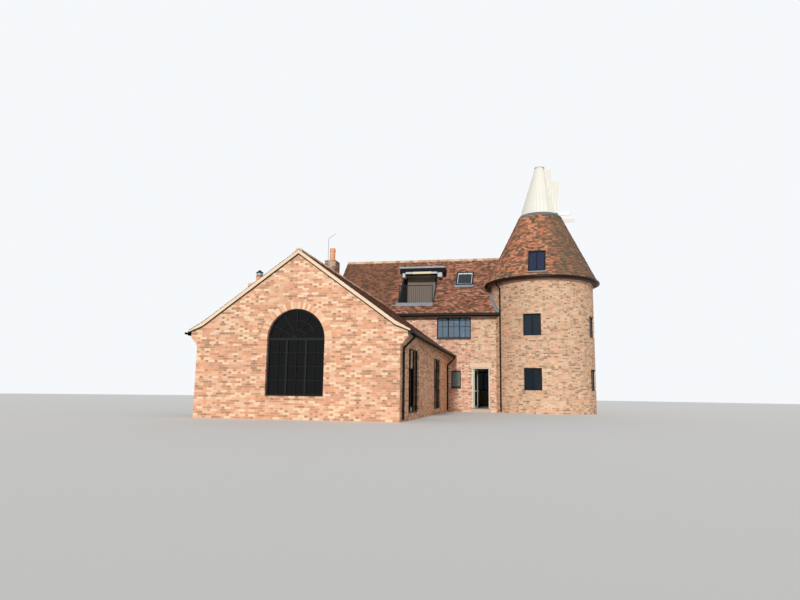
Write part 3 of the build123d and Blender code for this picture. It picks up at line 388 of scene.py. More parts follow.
def inside_gable(u, v):
    """How far a place on the gable is under the roof and within the stepped kneelers."""
    steps = min(max(math.floor((v + 0.03 - kneeler_z) / brick_gauge) + 1, 0), kneeler_steps)
    width = wing_half + kneeler_step * steps + brick_relief
    return min(wing_under(u) - v, width - abs(u))


def clear_of_arch(u, v):
    """How far a place on the gable is outside the ring of bricks over the arch."""
    if v <= arch_spring_z - 0.005:
        return 1
    return math.hypot(u, v - arch_spring_z) - arch_ring - ring_joint


wing_bricks = fired_clay("wing bricks", (
    (0.08, (184, 138, 110)), (0.16, (212, 156, 122)), (0.25, (234, 168, 130)),
    (0.28, (244, 194, 158)), (0.23, (252, 220, 184)),
))
wing_mortar = plain_finish("pale mortar", (238, 212, 182), 0.95, grain=(150.0, 0.08), patch=(1.2, 0.05),
                           depth=0.001)
finish_node(wing_mortar, "wing_front_wall", "wing_left_wall", "wing_right_wall")

gable_wide = wing_half + kneeler_step * kneeler_steps
gable_blocks = brick_wall(
    -gable_wide, gable_wide, 0, 5.4, header_bond, 11,
    openings=((-arch_half, arch_half, arch_sill_z, arch_spring_z),),
    cuts=(inside_gable, clear_of_arch), reveal=0.1,
)
draw = random.Random(12)
for index in range(voussoirs):
    middle = math.pi * (index + 0.5) / voussoirs
    corners = []
    inner = arch_half - opening_lap
    for radius, sign in ((inner, -1), (arch_ring, -1), (arch_ring, 1), (inner, 1)):
        angle = middle + sign * (math.pi / voussoirs / 2 - brick_joint / 2 / radius)
        corners.append((radius * math.cos(angle), arch_spring_z + radius * math.sin(angle)))
    gable_blocks.append((corners, [brick_relief + 0.002] * 4, -0.1, draw.uniform(0.3, 1)))
gable_place = flat_place((wing_axis_x, wing_front_y, 0), (1, 0, 0))
lay("gable_bricks", gable_blocks, gable_place, wing_bricks)

side_top_z = wing_under(wing_half)
for name, side, seed in (("wing_right_bricks", 1, 13), ("wing_left_bricks", -1, 14)):
    near, far = sorted((side * wing_front_y, side * main_front_y))
    holes = [(*sorted((side * y0, side * y1)), side_sill_z, side_head_z) for y0, y1 in side_openings]
    blocks = brick_wall(near, far, 0, side_top_z, header_bond, seed, holes, phase=1, ends=(0, 0))
    place = flat_place((wing_axis_x + side * wing_half, 0, 0), (0, side, 0))
    lay(name, blocks, place, wing_bricks)

# The main block's walls and the round kiln tower: old soft bricks, pink, buff and burnt, in wide
# lime joints. A straight joint beside the casement parts the pink bricks from later buff ones.
main_left_x, main_back_y, main_eaves_z = -10.98, 5.28, 4.94
main_eaves_front_y, main_eaves_back_y, main_ridge_y, main_ridge_z = -1.42, 5.58, 2.08, 8.44
main_roof_drop = 0.2121
tower_radius, tower_wall_top_z = 2.55, 6.4
tower_eaves_radius, tower_eaves_z, tower_head_radius, tower_head_z = 2.79, 6.56, 1.05, 10.12
cone_rate = (tower_eaves_radius - tower_head_radius) / (tower_head_z - tower_eaves_z)


def main_top(y):
    """Height of the main roof's upper face."""
    return main_ridge_z - abs(y - main_ridge_y)


def tower_reach(z):
    """The tower's outer radius at a height."""
    if z < tower_wall_top_z + 0.1:
        return tower_radius
    return tower_eaves_radius - (z - tower_eaves_z) * cone_rate


main_bricks = fired_clay("old bricks", (
    (0.08, (176, 132, 112)), (0.2, (212, 164, 136)), (0.28, (234, 176, 146)),
    (0.28, (246, 202, 170)), (0.16, (252, 224, 196)),
))
tower_bricks = fired_clay("tower bricks", (
    (0.08, (172, 136, 112)), (0.22, (208, 170, 138)), (0.3, (228, 188, 152)),
    (0.25, (240, 208, 174)), (0.15, (240, 180, 144)),
))
main_mortar = plain_finish("lime mortar", (234, 208, 182), 0.95, grain=(120.0, 0.1), patch=(0.9, 0.08),
                           depth=0.0015)
finish_node(main_mortar, "front_wall_left", "front_wall_right", "front_wall_upper", "back_wall",
            "left_gable_wall", "right_gable_wall", *[f"tower_wall_{part}" for part in range(1, 5)])

doorway = (-3.5, -2.63, 0.0, 2.19)
small_window = (-4.55, -4.06, 1.2, 2.03)
casement = (-5.29, -3.55, 3.68, 4.76)
lintel = (-3.61, -2.52, 2.2, 2.425)
lintel_bricks = 15
front_openings = (doorway, small_window, casement, lintel)
under_eaves_z = main_top(main_front_y) - main_roof_drop
front_cuts = (
    lambda u, v: math.hypot(u, main_front_y) - tower_radius,
    lambda u, v: max(abs(u - wing_axis_x) - wing_half, v - wing_top(u - wing_axis_x)),
)
straight_joint_x, half_joint, buff_low_z = -3.55, -brick_joint / 2, 2.25
front_place = flat_place((0, main_front_y, 0), (1, 0, 0))
for name, left, right, low, high, seed, ends, material in (
    ("main_front_bricks", main_left_x, straight_joint_x, 0, under_eaves_z, 21,
     (brick_relief, half_joint), main_bricks),
    ("main_door_bricks", straight_joint_x, 0, 0, buff_low_z, 26, (half_joint, 0), main_bricks),
    ("main_buff_bricks", straight_joint_x, 0, buff_low_z, under_eaves_z, 27, (half_joint, 0), tower_bricks),
):
    blocks = brick_wall(left, right, low, high, header_bond, seed, front_openings, front_cuts, ends=ends)
    lay(name, blocks, front_place, material)

# The lintel: one course of bricks on end over the doorway, of a paler kind than the wall.
draw = random.Random(28)
lintel_left, lintel_right, foot, head = lintel
lintel_blocks = []
for index in range(lintel_bricks):
    near, far = [lintel_left + (lintel_right - lintel_left) * (index + end) / lintel_bricks for end in (0, 1)]
    near, far = near + brick_joint / 2, far - brick_joint / 2
    outline = [(near, foot), (far, foot), (far, head), (near, head)]
    lintel_blocks.append((outline, [brick_relief + 0.001] * 4, -0.002, draw.uniform(0.8, 1)))
lintel_clay = fired_clay("lintel bricks", ((0.5, (226, 186, 154)), (0.5, (246, 214, 182))))
lay("door_lintel_bricks", lintel_blocks, front_place, lintel_clay)

# The back wall, the gables and the tower: the same bond, with guessed windows of the front's sizes.
back_half, back_tall, gable_tall = 0.87, 1.08, 0.83
back_openings = [(x - back_half, x + back_half, z, z + back_tall) for x in (3.6, 8.2) for z in (1.11, 3.68)]
lay(
    "main_back_bricks",
    brick_wall(0, -main_left_x, 0, under_eaves_z, header_bond, 22, back_openings),
    flat_place((0, main_back_y, 0), (-1, 0, 0)), main_bricks,
)
lay(
    "left_gable_bricks",
    brick_wall(
        -main_back_y, -main_front_y, 0, main_ridge_z, header_bond, 23,
        openings=[(-3.775, -3.285, z, z + gable_tall) for z in (1.2, 3.77)],
        cuts=(lambda u, v: main_top(-u) - main_roof_drop - v,), phase=1, ends=(0, 0),
    ),
    flat_place((main_left_x, 0, 0), (0, -1, 0)), main_bricks,
)
lay(
    "right_gable_bricks",
    brick_wall(
        main_front_y, main_back_y, 0, main_ridge_z, header_bond, 24,
        cuts=(lambda u, v: main_top(u) - main_roof_drop - v, lambda u, v: u - tower_reach(v)),
        phase=1, ends=(0, 0),
    ),
    flat_place((0, 0, 0), (0, 1, 0)), main_bricks,
)


def tower_place(u, v, height):
    """The tower's face by the distance round it and the height above ground."""
    angle = u / tower_radius
    return Vector(((tower_radius + height) * math.cos(angle), (tower_radius + height) * math.sin(angle), v))


def clear_of_main(u, v):
    """How far a place on the tower is outside the main block, walls and roof."""
    x, y, z = tower_place(u, v, 0)
    return max(x, main_front_y - y, y - main_back_y, z - main_top(y) if x < 0 else 1)


tower_window_half = 0.435
tower_openings = []
for bearing in (-102.5, -20):
    for low, high in ((1.09, 2.14), (3.68, 4.73)):
        middle = (bearing % 360) * math.pi / 180 * tower_radius
        tower_openings.append((middle - tower_window_half, middle + tower_window_half, low, high))
lay(
    "tower_bricks",
    brick_wall(0, 2 * math.pi * tower_radius, 0, tower_wall_top_z, header_bond, 25, tower_openings,
               cuts=(clear_of_main,), relief=0.009, ends=(0, 0)),
    tower_place, tower_bricks,
)

# The roofs: plain clay tiles hung in 100 mm courses, each tail riding on the course below.
# Those of the main block and the cone are old and mottled with lichen, those of the wing even.
tile_width = 0.165
tile_gauge = 0.1
tile_lap = 0.02
tile_lift = 0.02
root_half = math.sqrt(0.5)


def tile_courses(left, right, length, seed, openings=(), cuts=(), age=lambda u: 1):
    """Courses of tiles over a slope, from its eaves up. Age scales down the tone along it."""
    draw = random.Random(seed)
    count = round((right - left) / tile_width)
    width = (right - left) / count
    blocks = []
    for course in range(math.ceil(length / tile_gauge)):
        for index in range(-1, count):
            start = left + (index + (0.5 if course % 2 else 0)) * width
            tail = course * tile_gauge + draw.uniform(-0.008, 0.008)
            head = (course + 1) * tile_gauge + tile_lap
            lift, skew = tile_lift + draw.uniform(-0.004, 0.008), draw.uniform(-0.006, 0.006)
            tone = draw.random() * age(start)
            u0, u1 = max(start + 0.0015, left), min(start + width - 0.0015, right)
            if u1 - u0 < least_width:
                continue
            outline = [(u0, tail), (u1, tail + skew), (u1, head), (u0, head)]
            outline = trim(outline, lambda u, v: length - v)
            for cut in cuts:
                outline = trim(outline, cut) if len(outline) > 2 else []
            if len(outline) < 3:
                continue
            for part in leave_openings(outline, openings)[0]:
                if outline_area(part) > least_area:
                    heights = [lift * (1 - 0.75 * (v - tail) / (head - tail)) for u, v in part]
                    blocks.append((part, heights, -0.003, tone))
    return blocks


def clear_of_tower(u, v):
    """How far a place on the main front slope is outside the tower."""
    y = main_eaves_front_y + v * root_half
    return math.hypot(u, y) - tower_reach(main_top(y))


def clear_of_wing(u, v):
    """How far a place on the main front slope is above the wing's roof."""
    return main_eaves_z + v * root_half - wing_top(u - wing_axis_x) + 0.01


def slope_age(u):
    """The scale of the front slope's tones: darker at its left end, and lighter after a short fade."""
    return dark_tone + (1 - dark_tone) * min(max((u - dark_end_x) / dark_fade, 0), 1)


dark_tone, dark_end_x, dark_fade = 0.62, -8.6, 1.6
main_tiles = fired_clay("old tiles", (
    (0.14, (96, 68, 52)), (0.24, (130, 88, 66)), (0.26, (154, 102, 76)),
    (0.22, (184, 122, 94)), (0.14, (206, 150, 126)),
), grain=(45.0, 0.12), patch=(0.6, 0.12), depth=0.002, drift=(1.5, 0.45),
    lichen=((128, 112, 78), 9.0, 0.55, 0.5))
main_slope_length = (main_ridge_y - main_eaves_front_y) / root_half
terrace_hole = (-7.46, -5.49, 0.877, 4.0)
canopy_hole = (-7.54, -5.07, 3.54, 3.92)
roof_window_hole = (-4.48, -3.54, 2.43, 3.61)
main_left_verge_x = -11.04
lay(
    "main_front_tiles",
    tile_courses(main_left_verge_x, 0, main_slope_length, 31, (terrace_hole, canopy_hole, roof_window_hole),
                 (clear_of_tower, clear_of_wing), slope_age),
    flat_place((0, main_eaves_front_y, main_eaves_z), (1, 0, 0), (0, 1, 1)), main_tiles,
)
lay(
    "main_back_tiles",
    tile_courses(0, -main_left_verge_x, main_slope_length, 32),
    flat_place((0, main_eaves_back_y, main_eaves_z), (-1, 0, 0), (0, -1, 1)), main_tiles,
)

wing_tiles = fired_clay("wing tiles", (
    (0.2, (84, 56, 44)), (0.3, (106, 72, 56)), (0.3, (124, 84, 66)), (0.2, (142, 98, 78)),
), grain=(45.0, 0.08), patch=(0.5, 0.08), depth=0.0015)
sprocket_length = math.hypot(wing_reach - wing_bend, (wing_reach - wing_bend) * sprocket_slope)
wing_slope_length = sprocket_length + math.hypot(wing_bend, wing_bend * wing_slope)
wing_verge_y = -13.65
wing_stack = (-12.015, -11.195, -9.1, -8.5, 5.24)


def wing_roof_place(side):
    """The wing's slope on one side, with its flatter foot. Side is 1 for the right, -1 for the left."""
    edge = Vector((wing_axis_x + side * wing_reach, 0, wing_top(wing_reach)))
    bend = Vector((wing_axis_x + side * wing_bend, 0, wing_top(wing_bend)))
    along = (0, side, 0)
    foot = flat_place(edge, along, (-side, 0, sprocket_slope))
    head = flat_place(bend, along, (-side, 0, wing_slope))
    return lambda u, v, height: (
        foot(u, v, height) if v < sprocket_length else head(u, v - sprocket_length, height))


def before_main(side):
    """Keeps the wing's tiles in front of the main block's wall and under its slope."""
    place = wing_roof_place(side)
    return lambda u, v: max(main_front_y, place(u, v, 0).z - main_eaves_z + main_eaves_front_y) - u * side


lay(
    "wing_right_tiles",
    tile_courses(wing_verge_y, -0.875, wing_slope_length, 33, cuts=(before_main(1),)),
    wing_roof_place(1), wing_tiles,
)
stack_hole = (-wing_stack[3], -wing_stack[2], -0.1, 0.7835)
lay(
    "wing_left_tiles",
    tile_courses(0.875, -wing_verge_y, wing_slope_length, 34, (stack_hole,), (before_main(-1),)),
    wing_roof_place(-1), wing_tiles,
)


def cone_place(u, v, height):
    """The cone's face by its bearing and the distance up it."""
    lean = math.hypot(1, cone_rate)
    radius = tower_eaves_radius - v * cone_rate / lean + height / lean
    z = tower_eaves_z + v / lean + height * cone_rate / lean
    return Vector((radius * math.cos(u), radius * math.sin(u), z))


def cone_clear(u, v):
    """How far a place on the cone is above the main block's roof, or beyond its end."""
    x, y, z = cone_place(u, v, 0)
    return max(x, z - main_top(y))


cone_tiles = fired_clay("cone tiles", (
    (0.14, (110, 94, 74)), (0.2, (140, 108, 86)), (0.26, (180, 118, 88)),
    (0.24, (216, 142, 100)), (0.16, (228, 160, 126)),
), grain=(45.0, 0.12), patch=(0.6, 0.12), depth=0.002, drift=(2.6, 0.6),
    lichen=((118, 110, 86), 7.5, 0.53, 0.5))
cone_length = math.hypot(tower_eaves_radius - tower_head_radius, tower_head_z - tower_eaves_z)
cone_window_bearing = (-96 % 360) * math.pi / 180
cone_window_half = 0.41
cone_window_low, cone_window_high = 0.19, 1.44
# The cone's right side, past a bearing, takes darker tile tones: a painted shade of the side turned from the
# sun, with greyer weathering there too.
painted_shade_start_degrees, painted_shade_fade, painted_shade_loss = 268, 26, 0.6
draw = random.Random(35)
cone_blocks = []
for course in range(math.ceil(cone_length / tile_gauge)):
    tail, head = course * tile_gauge, min((course + 1) * tile_gauge + tile_lap, cone_length)
    reach = cone_place(0, tail, 0).x
    count = round(2 * math.pi * reach / tile_width)
    half = cone_window_half / reach
    hole = (cone_window_bearing - half, cone_window_bearing + half, cone_window_low, cone_window_high)
    for index in range(count):
        u0 = 2 * math.pi * (index + (0.5 if course % 2 else 0)) / count
        u1 = u0 + 2 * math.pi / count - 0.003 / reach
        # Painted shade: the tile's tone is scaled down on the cone's right side.
        dark = min(max((math.degrees(u0) - painted_shade_start_degrees) / painted_shade_fade, 0), 1)
        lift, tone = tile_lift + draw.uniform(-0.004, 0.01), draw.random() * (1 - painted_shade_loss * dark)
        low = tail + draw.uniform(-0.012, 0.008)
        outline = trim([(u0, low), (u1, low + draw.uniform(-0.01, 0.01)), (u1, head), (u0, head)], cone_clear)
        for part in leave_openings(outline, (hole,))[0] if len(outline) > 2 else ():
            heights = [lift * (1 - 0.75 * (v - tail) / tile_gauge) for u, v in part]
            cone_blocks.append((part, heights, -0.012, tone))
lay("cone_tiles", cone_blocks, cone_place, cone_tiles)


def two_tone(name, within, past_it, axis, limit):
    """A finish of two colours that meet at a limit of one axis, as a tile bed and its pointed edge do."""
    material = bpy.data.materials.new(name)
    material.use_nodes = True
    tree = material.node_tree
    shader = tree.nodes["Principled BSDF"]
    shader.inputs["Roughness"].default_value = 0.95
    place = add_node(tree, "TexCoord").outputs["Object"]
    value = add_node(tree, "SeparateXYZ", Vector=place).outputs[axis]
    past = maths(tree, "LESS_THAN", value, limit)
    mixed = add_node(tree, "MixRGB", Fac=past, Color1=paint(*within), Color2=paint(*past_it))
    shade, height = weather(tree, mixed.outputs["Color"], 30.0, 0.08, 1.5, 0.08)
    tree.links.new(shade, shader.inputs["Base Color"])
    roughen(tree, height, 0.004)
    return material


finish_node(two_tone("main tile bed", (92, 66, 54), (214, 186, 158), "X", main_left_verge_x + hair),
            "main_roof_front", "main_roof_back")
finish_node(two_tone("wing tile bed", (84, 60, 48), (248, 222, 190), "Y", wing_verge_y + hair),
            "wing_roof_left", "wing_roof_right")
finish_node(plain_finish("cone bed", (96, 74, 62), 0.95, depth=0.002), "tower_roof")

# The undercloak: a thin dark board under each verge of the wing, which the verge mortar lies on. Its dark
# colour also stands in for the verge's shadow line below the mortar, a painted shadow.
undercloak_depth, undercloak_out = 0.034, 0.046
undercloak_shadow_blocks = []
for near, far in ((0.0, wing_bend), (wing_bend, wing_reach)):
    upper = [(near, wing_under(near)), (far, wing_under(far))]
    lower = [(u, v - undercloak_depth) for u, v in upper]
    rising = [lower[0], lower[1], upper[1], upper[0]]
    falling = [(-u, v) for u, v in (lower[1], lower[0], upper[0], upper[1])]
    for outline in (rising, falling):
        undercloak_shadow_blocks.append((outline, [undercloak_out] * 4, -0.002, 0.5))
undercloak_and_shadow = plain_finish("undercloak_and_shadow", (44, 36, 30), 0.9)
lay("wing_undercloak_and_shadow", undercloak_shadow_blocks, gable_place, undercloak_and_shadow)

# The ridges: half-round clay tiles 260 mm long, let down over a bed of pale mortar that shows at
# each joint and under their edges and fills the open ends.
ridge_length = 0.26
ridge_gap = 0.022
ridge_sink, ridge_bed_radius, ridge_skin = 0.066, 0.108, 0.014
ridge_set_back = 0.004
ridge_facets = 9
ridge_mortar = plain_finish("ridge mortar", (240, 212, 180), 0.95, grain=(60.0, 0.1), patch=(2.0, 0.08),
                            depth=0.003)
ridge_clay = fired_clay("ridge clay", (
    (0.25, (194, 150, 118)), (0.4, (214, 172, 138)), (0.35, (238, 206, 172)),
), grain=(40.0, 0.1), patch=(1.5, 0.1), depth=0.002)


def new_disc(sides, radius=1.0, place=(0, 0, 0)):
    """A filled circle of its own, to be shaped and drawn out."""
    bpy.ops.object.select_all(action="DESELECT")
    bpy.ops.mesh.primitive_circle_add(vertices=sides, radius=radius, fill_type="NGON", location=place)
    bpy.ops.object.transform_apply(location=True, rotation=True, scale=True)
    return bpy.context.object


def draw_out(steps):
    """Draws the new disc out through steps, each a move, and how much wider it ends at what height."""
    bpy.ops.object.mode_set(mode="EDIT")
    bpy.ops.mesh.select_all(action="SELECT")
    for move, wider, level in steps:
        bpy.ops.mesh.extrude_region_move(TRANSFORM_OT_translate={"value": tuple(move)})
        if wider != 1:
            bpy.ops.transform.resize(value=(wider, wider, 1), center_override=(0, 0, level))
    bpy.ops.mesh.select_all(action="SELECT")
    bpy.ops.mesh.normals_make_consistent(inside=False)
    bpy.ops.object.mode_set(mode="OBJECT")


def run_profile(name, corners, run, material):
    """A flat outline, given by its corners in space, drawn out along a run."""
    piece = new_disc(len(corners))
    for vertex, corner in zip(piece.data.vertices, corners):
        vertex.co = corner
    draw_out([(run, 1, 0)])
    return dress(piece, name, material)


def ridge_run(name, start, along, length, spread):
    """A ridge's mortar bed, and half-round tiles along it, each a curved block of a few facets."""
    out = Vector(along).cross(Vector((0, 0, 1)))

    def place(angle, run, height):
        radius = ridge_bed_radius + height
        side = out * (-math.sin(angle) * radius)
        rise = Vector((0, 0, math.cos(angle) * radius - ridge_sink))
        return Vector(start) + Vector(along) * run + side + rise

    turns = [math.radians(-spread + 2 * spread * facet / ridge_facets) for facet in range(ridge_facets + 1)]
    bed = run_profile(name + "_bed", [place(turn, ridge_set_back, 0) for turn in turns],
                      Vector(along) * (length - 2 * ridge_set_back), ridge_mortar)
    draw = random.Random(len(name))
    count = math.floor(length / ridge_length)
    blocks = []
    for index in range(count):
        tone, near = draw.random(), index * length / count + ridge_gap / 2
        far = near + length / count - ridge_gap
        skin = ridge_skin + draw.uniform(-0.003, 0.003)
        for a, b in zip(turns[:-1], turns[1:]):
            blocks.append(([(a, far), (b, far), (b, near), (a, near)], [skin] * 4, -0.004, tone))
    lay(name + "_tiles", blocks, place, ridge_clay)
    return bed


wing_ridge_run, wing_ridge_spread, main_ridge_spread = 12.6, 95, 106
ridge_run("wing_ridge", (wing_axis_x, wing_verge_y, wing_ridge_z), (0, 1, 0), wing_ridge_run,
          wing_ridge_spread)
main_ridge = ridge_run("main_ridge", (main_left_verge_x, main_ridge_y, main_ridge_z), (1, 0, 0),
                       -main_left_verge_x, main_ridge_spread)
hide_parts("ridge_tiles")

# The chimneys: brick stacks with a pot each. The wing's carries a flue cap on a zinc band, and the
# main gable's is a tall pot with a rolled rim. Both pots are terracotta.
stretcher_bond = (0.225,)
stack_mortar = plain_finish("stack mortar", (206, 180, 156), 0.95, grain=(110.0, 0.1), depth=0.0015)
finish_node(stack_mortar, "gable_chimney", "wing_chimney")


def brick_stack(name, x0, x1, y0, y1, low, high, material, slot, seed):
    """Bricks on the four faces of a stack."""
    sides = (
        ((x0, y0), (1, 0, 0), x1 - x0), ((x1, y0), (0, 1, 0), y1 - y0),
        ((x1, y1), (-1, 0, 0), x1 - x0), ((x0, y1), (0, -1, 0), y1 - y0),
    )
    for index, ((x, y), along, width) in enumerate(sides):
        blocks = brick_wall(0, width, low, high, stretcher_bond, seed + index, phase=index % 2,
                            ends=(brick_relief, brick_relief) if index % 2 == 0 else (0, 0))
        lay(f"{name}_{index + 1}", blocks, flat_place((x, y, 0), along), material)


stack_bricks = fired_clay("stack bricks", (
    (0.2, (116, 90, 76)), (0.3, (168, 130, 108)), (0.3, (200, 158, 132)), (0.2, (220, 188, 162)),
), patch=(0.9, 0.12))
brick_stack("wing_stack_bricks", *wing_stack[:4], 0, wing_stack[4], wing_bricks, "wing_brick", 41)
brick_stack("gable_stack_bricks", -11.58, -10.98, -0.6, 0.2, 0, 8.05, stack_bricks, "main_brick", 45)


def turned(name, rings, places, material, sides=24):
    """A round piece drawn up from a disc, each ring a radius and a height, set at each of its places."""
    model = new_disc(sides, rings[0][0], (0, 0, rings[0][1]))
    draw_out([((0, 0, high - low), radius / before, high)
              for (before, low), (radius, high) in zip(rings, rings[1:])])
    bpy.ops.object.select_all(action="DESELECT")
    for place in places:
        copy = bpy.data.objects.new(name, model.data.copy())
        copy.data.transform(Matrix.Translation(place))
        bpy.context.scene.collection.objects.link(copy)
        copy.select_set(True)
        bpy.context.view_layer.objects.active = copy
    bpy.data.objects.remove(model)
    if len(places) > 1:
        bpy.ops.object.join()
    return dress(bpy.context.object, name, material)


gable_pot_place, wing_pot_place = (-11.28, -0.2, 0), (-11.66, -8.8, 0)
terracotta = plain_finish("terracotta", (250, 182, 136), 0.8, grain=(30.0, 0.06), patch=(3.0, 0.1),
                          depth=0.001)
gable_pot = turned("gable_pot", [
    (0.152, 8.1), (0.145, 8.58), (0.166, 8.61), (0.166, 8.68), (0.148, 8.7), (0.152, 8.76),
    (0.15, 8.79), (0.12, 8.79), (0.115, 8.3),
], [gable_pot_place], terracotta)
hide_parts("chimney_pots")
turned("wing_pot", [
    (0.142, 5.28), (0.136, 5.5), (0.15, 5.515), (0.15, 5.555), (0.13, 5.57), (0.1, 5.57), (0.095, 5.35),
], [wing_pot_place], terracotta)
stove_enamel = plain_finish("stove enamel", (24, 27, 29), 0.5, grain=(60.0, 0.08), gloss=0.2)
zinc = plain_finish("dull zinc", (150, 166, 172), 0.5, metallic=0.6)
turned("flue_band", [(0.124, 5.56), (0.128, 5.6), (0.128, 5.72), (0.1, 5.74)], [wing_pot_place],
       zinc)
turned("flue_ring", [(0.13, 5.568), (0.142, 5.575), (0.142, 5.6), (0.126, 5.607)], [wing_pot_place],
       stove_enamel)
flue_hood = turned("flue_hood", [(0.15, 5.722), (0.156, 5.728), (0.154, 5.742), (0.03, 5.846), (0.01, 5.856)],
                   [wing_pot_place], stove_enamel)
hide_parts("flue_cap")

# The aerial: a thin round rod strapped to the main gable's stack, bent over at its head.
rod_foot, rod_radius = (-11.39, -0.63, 7.45), 0.015
rod_moves = (
    (0, 0, 1.74), (0.012, 0, 0.055), (0.034, 0, 0.05), (0.16, 0, 0.11), (0.154, 0, 0.11), (0.02, 0, 0.03),
)
aerial = new_disc(8, rod_radius, rod_foot)
draw_out([(move, 1, 0) for move in rod_moves])
dress(aerial, "aerial_rod", zinc)
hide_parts("aerial_mast")

# The joinery: black coated metal windows, a sage painted timber door frame and clear glass, its colour
# painted: painted sky reflections on some panes, painted shade of the dark rooms behind the rest.
black_metal = plain_finish("black metal", (24, 26, 29), 0.45, grain=(200.0, 0.06), patch=(1.5, 0.08),
                           depth=0.0002, gloss=0.16)
finish_node(black_metal, "arch_window_frame", "window_frames", "roof_window_frames", "terrace_railing")


def glass_finish():
    """Clear glass with painted colours: a painted reflection of the sky on the front casement and the small
    window, a deeper painted blue of sky on the cone's pane, two painted sky blues mixed by a noise on the
    other panes, and painted shade of the dark rooms behind in the wing's, the back's and the door's panes.
    Each painted colour fills a box given as (axis, middle, reach)."""
    material = bpy.data.materials.new("window glass")
    material.use_nodes = True
    tree = material.node_tree
    shader = tree.nodes["Principled BSDF"]
    shader.inputs["Transmission Weight"].default_value = 0.8
    shader.inputs["IOR"].default_value = 1.3
    shader.inputs["Specular IOR Level"].default_value = 0.14
    place = add_node(tree, "TexCoord").outputs["Object"]
    haze = add_node(tree, "TexNoise", Vector=place, Scale=2.0, Detail=3.0).outputs["Fac"]
    tree.links.new(maths(tree, "MULTIPLY_ADD", haze, 0.03, 0.02), shader.inputs["Roughness"])
    axes = add_node(tree, "SeparateXYZ", Vector=place).outputs
    # Two painted blues of reflected sky, the colour of every pane outside the boxes below.
    painted_sky_pale, painted_sky_deep = paint(92, 114, 130), paint(76, 94, 110)
    shade = add_node(tree, "MixRGB", Fac=haze, Color1=painted_sky_pale, Color2=painted_sky_deep).outputs[0]
    # Painted colours by box: sky reflections on the casement, the cone's pane and the small window; shade of
    # dark rooms behind the wing's, the back's and the door's panes.
    for painted_tint, box in (
        ((200, 228, 250), (("X", -4.42, 0.87), ("Y", main_front_y, 0.3), ("Z", 4.22, 0.54))),
        ((96, 112, 156), (("X", 0, 1.2), ("Y", -2.5, 0.5), ("Z", 7.4, 0.7))),
        ((14, 14, 11), (("X", wing_axis_x, wing_half + 0.02), ("Y", -7.6, 6.3))),
        ((20, 22, 23), (("Y", main_back_y, 0.3),)),
        ((215, 228, 226), (("X", -4.305, 0.25), ("Y", main_front_y, 0.3), ("Z", 1.6, 0.45))),
        ((90, 96, 98), (("X", -3.06, 0.44), ("Y", main_front_y, 0.5), ("Z", 1.2, 1.0))),
    ):
        mask = 1.0
        for axis, middle, reach in box:
            mask = maths(tree, "MULTIPLY", mask, maths(tree, "COMPARE", axes[axis], middle, reach))
        shade = add_node(tree, "MixRGB", Fac=mask, Color1=shade, Color2=paint(*painted_tint)).outputs[0]
    tree.links.new(shade, shader.inputs["Base Color"])
    return material


finish_node(glass_finish(), "window_glass", "door_leaf_glass")
sage = plain_finish("sage paint", (232, 230, 210), 0.5, grain=(60.0, 0.03), depth=0.0003)
finish_node(sage, "door_frame", "door_leaf")


def add_boxes(name, boxes, material, edge=0.002):
    """Squared pieces joined as one, each a cube stretched between two corners with eased edges."""
    bpy.ops.object.select_all(action="DESELECT")
    made = []
    for low, high in boxes:
        low, high = Vector(low), Vector(high)
        bpy.ops.mesh.primitive_cube_add(size=1, location=(low + high) / 2, scale=high - low)
        made.append(bpy.context.object)
    for piece in made:
        piece.select_set(True)
    bpy.ops.object.transform_apply(location=True, rotation=True, scale=True)
    if len(made) > 1:
        bpy.ops.object.join()
    piece = bpy.context.object
    piece.data.transform(piece.matrix_world)
    piece.matrix_world = Matrix.Identity(4)
    eased = piece.modifiers.new("eased", "BEVEL")
    eased.width = edge
    bpy.ops.object.modifier_apply(modifier="eased")
    return dress(piece, name, material)


# Glazing bars: thin black bars planted on the arch window's lights and on the casements, so each
# light reads as small panes.
bar, into_frame, arc_steps = 0.009, 0.05, 24
bar_front_y, bar_back_y = -13.495, -13.462
arch_reach = arch_half - into_frame
arch_bars = [(-arch_reach, arch_reach, z - bar, z + bar) for z in (1.24, 1.68, 2.12)]
arch_bars += [(u - bar, u + bar, arch_sill_z + into_frame, arch_spring_z - 0.04) for u in (-0.62, 0.0, 0.62)]
add_boxes("arch_glazing_bars", [
    ((wing_axis_x + left, bar_front_y, foot), (wing_axis_x + right, bar_back_y, head))
    for left, right, foot, head in arch_bars
], black_metal)
fan_blocks = []
for degrees in (30, 60, 90, 120, 150):
    angle = math.radians(degrees)
    ray, across = (math.cos(angle), math.sin(angle)), (-math.sin(angle), math.cos(angle))
    near, far = 0.06, arch_reach
    fan_blocks.append((
        [(r * ray[0] + s * bar * across[0], arch_spring_z + r * ray[1] + s * bar * across[1])
         for r, s in ((near, -1), (far, -1), (far, 1), (near, 1))], [0.033] * 4, 0.0, 0.5,
    ))
for radius in (0.3, 0.6):
    for step in range(arc_steps):
        a, b = math.pi * step / arc_steps, math.pi * (step + 1) / arc_steps
        fan_blocks.append((
            [(r * math.cos(t), arch_spring_z + r * math.sin(t))
             for r, t in ((radius - bar, a), (radius + bar, a), (radius + bar, b), (radius - bar, b))],
            [0.031] * 4, 0.0, 0.5,
        ))
fan_place = flat_place((wing_axis_x, bar_back_y, 0), (1, 0, 0))
lay("arch_fan_bars", fan_blocks, fan_place, black_metal)

casement_left, casement_right, casement_foot, casement_head = casement
casement_lights, light_half, rail_z = 3, 0.24, 4.28
casement_bars = []
for light in range(casement_lights):
    x = casement_left + (casement_right - casement_left) * (light + 0.5) / casement_lights
    casement_bars.append(((x - bar, -1.06, casement_foot + 0.05), (x + bar, -1.03, casement_head - 0.05)))
    casement_bars.append(((x - light_half, -1.058, rail_z - bar), (x + light_half, -1.032, rail_z + bar)))
add_boxes("casement_bars", casement_bars, black_metal)

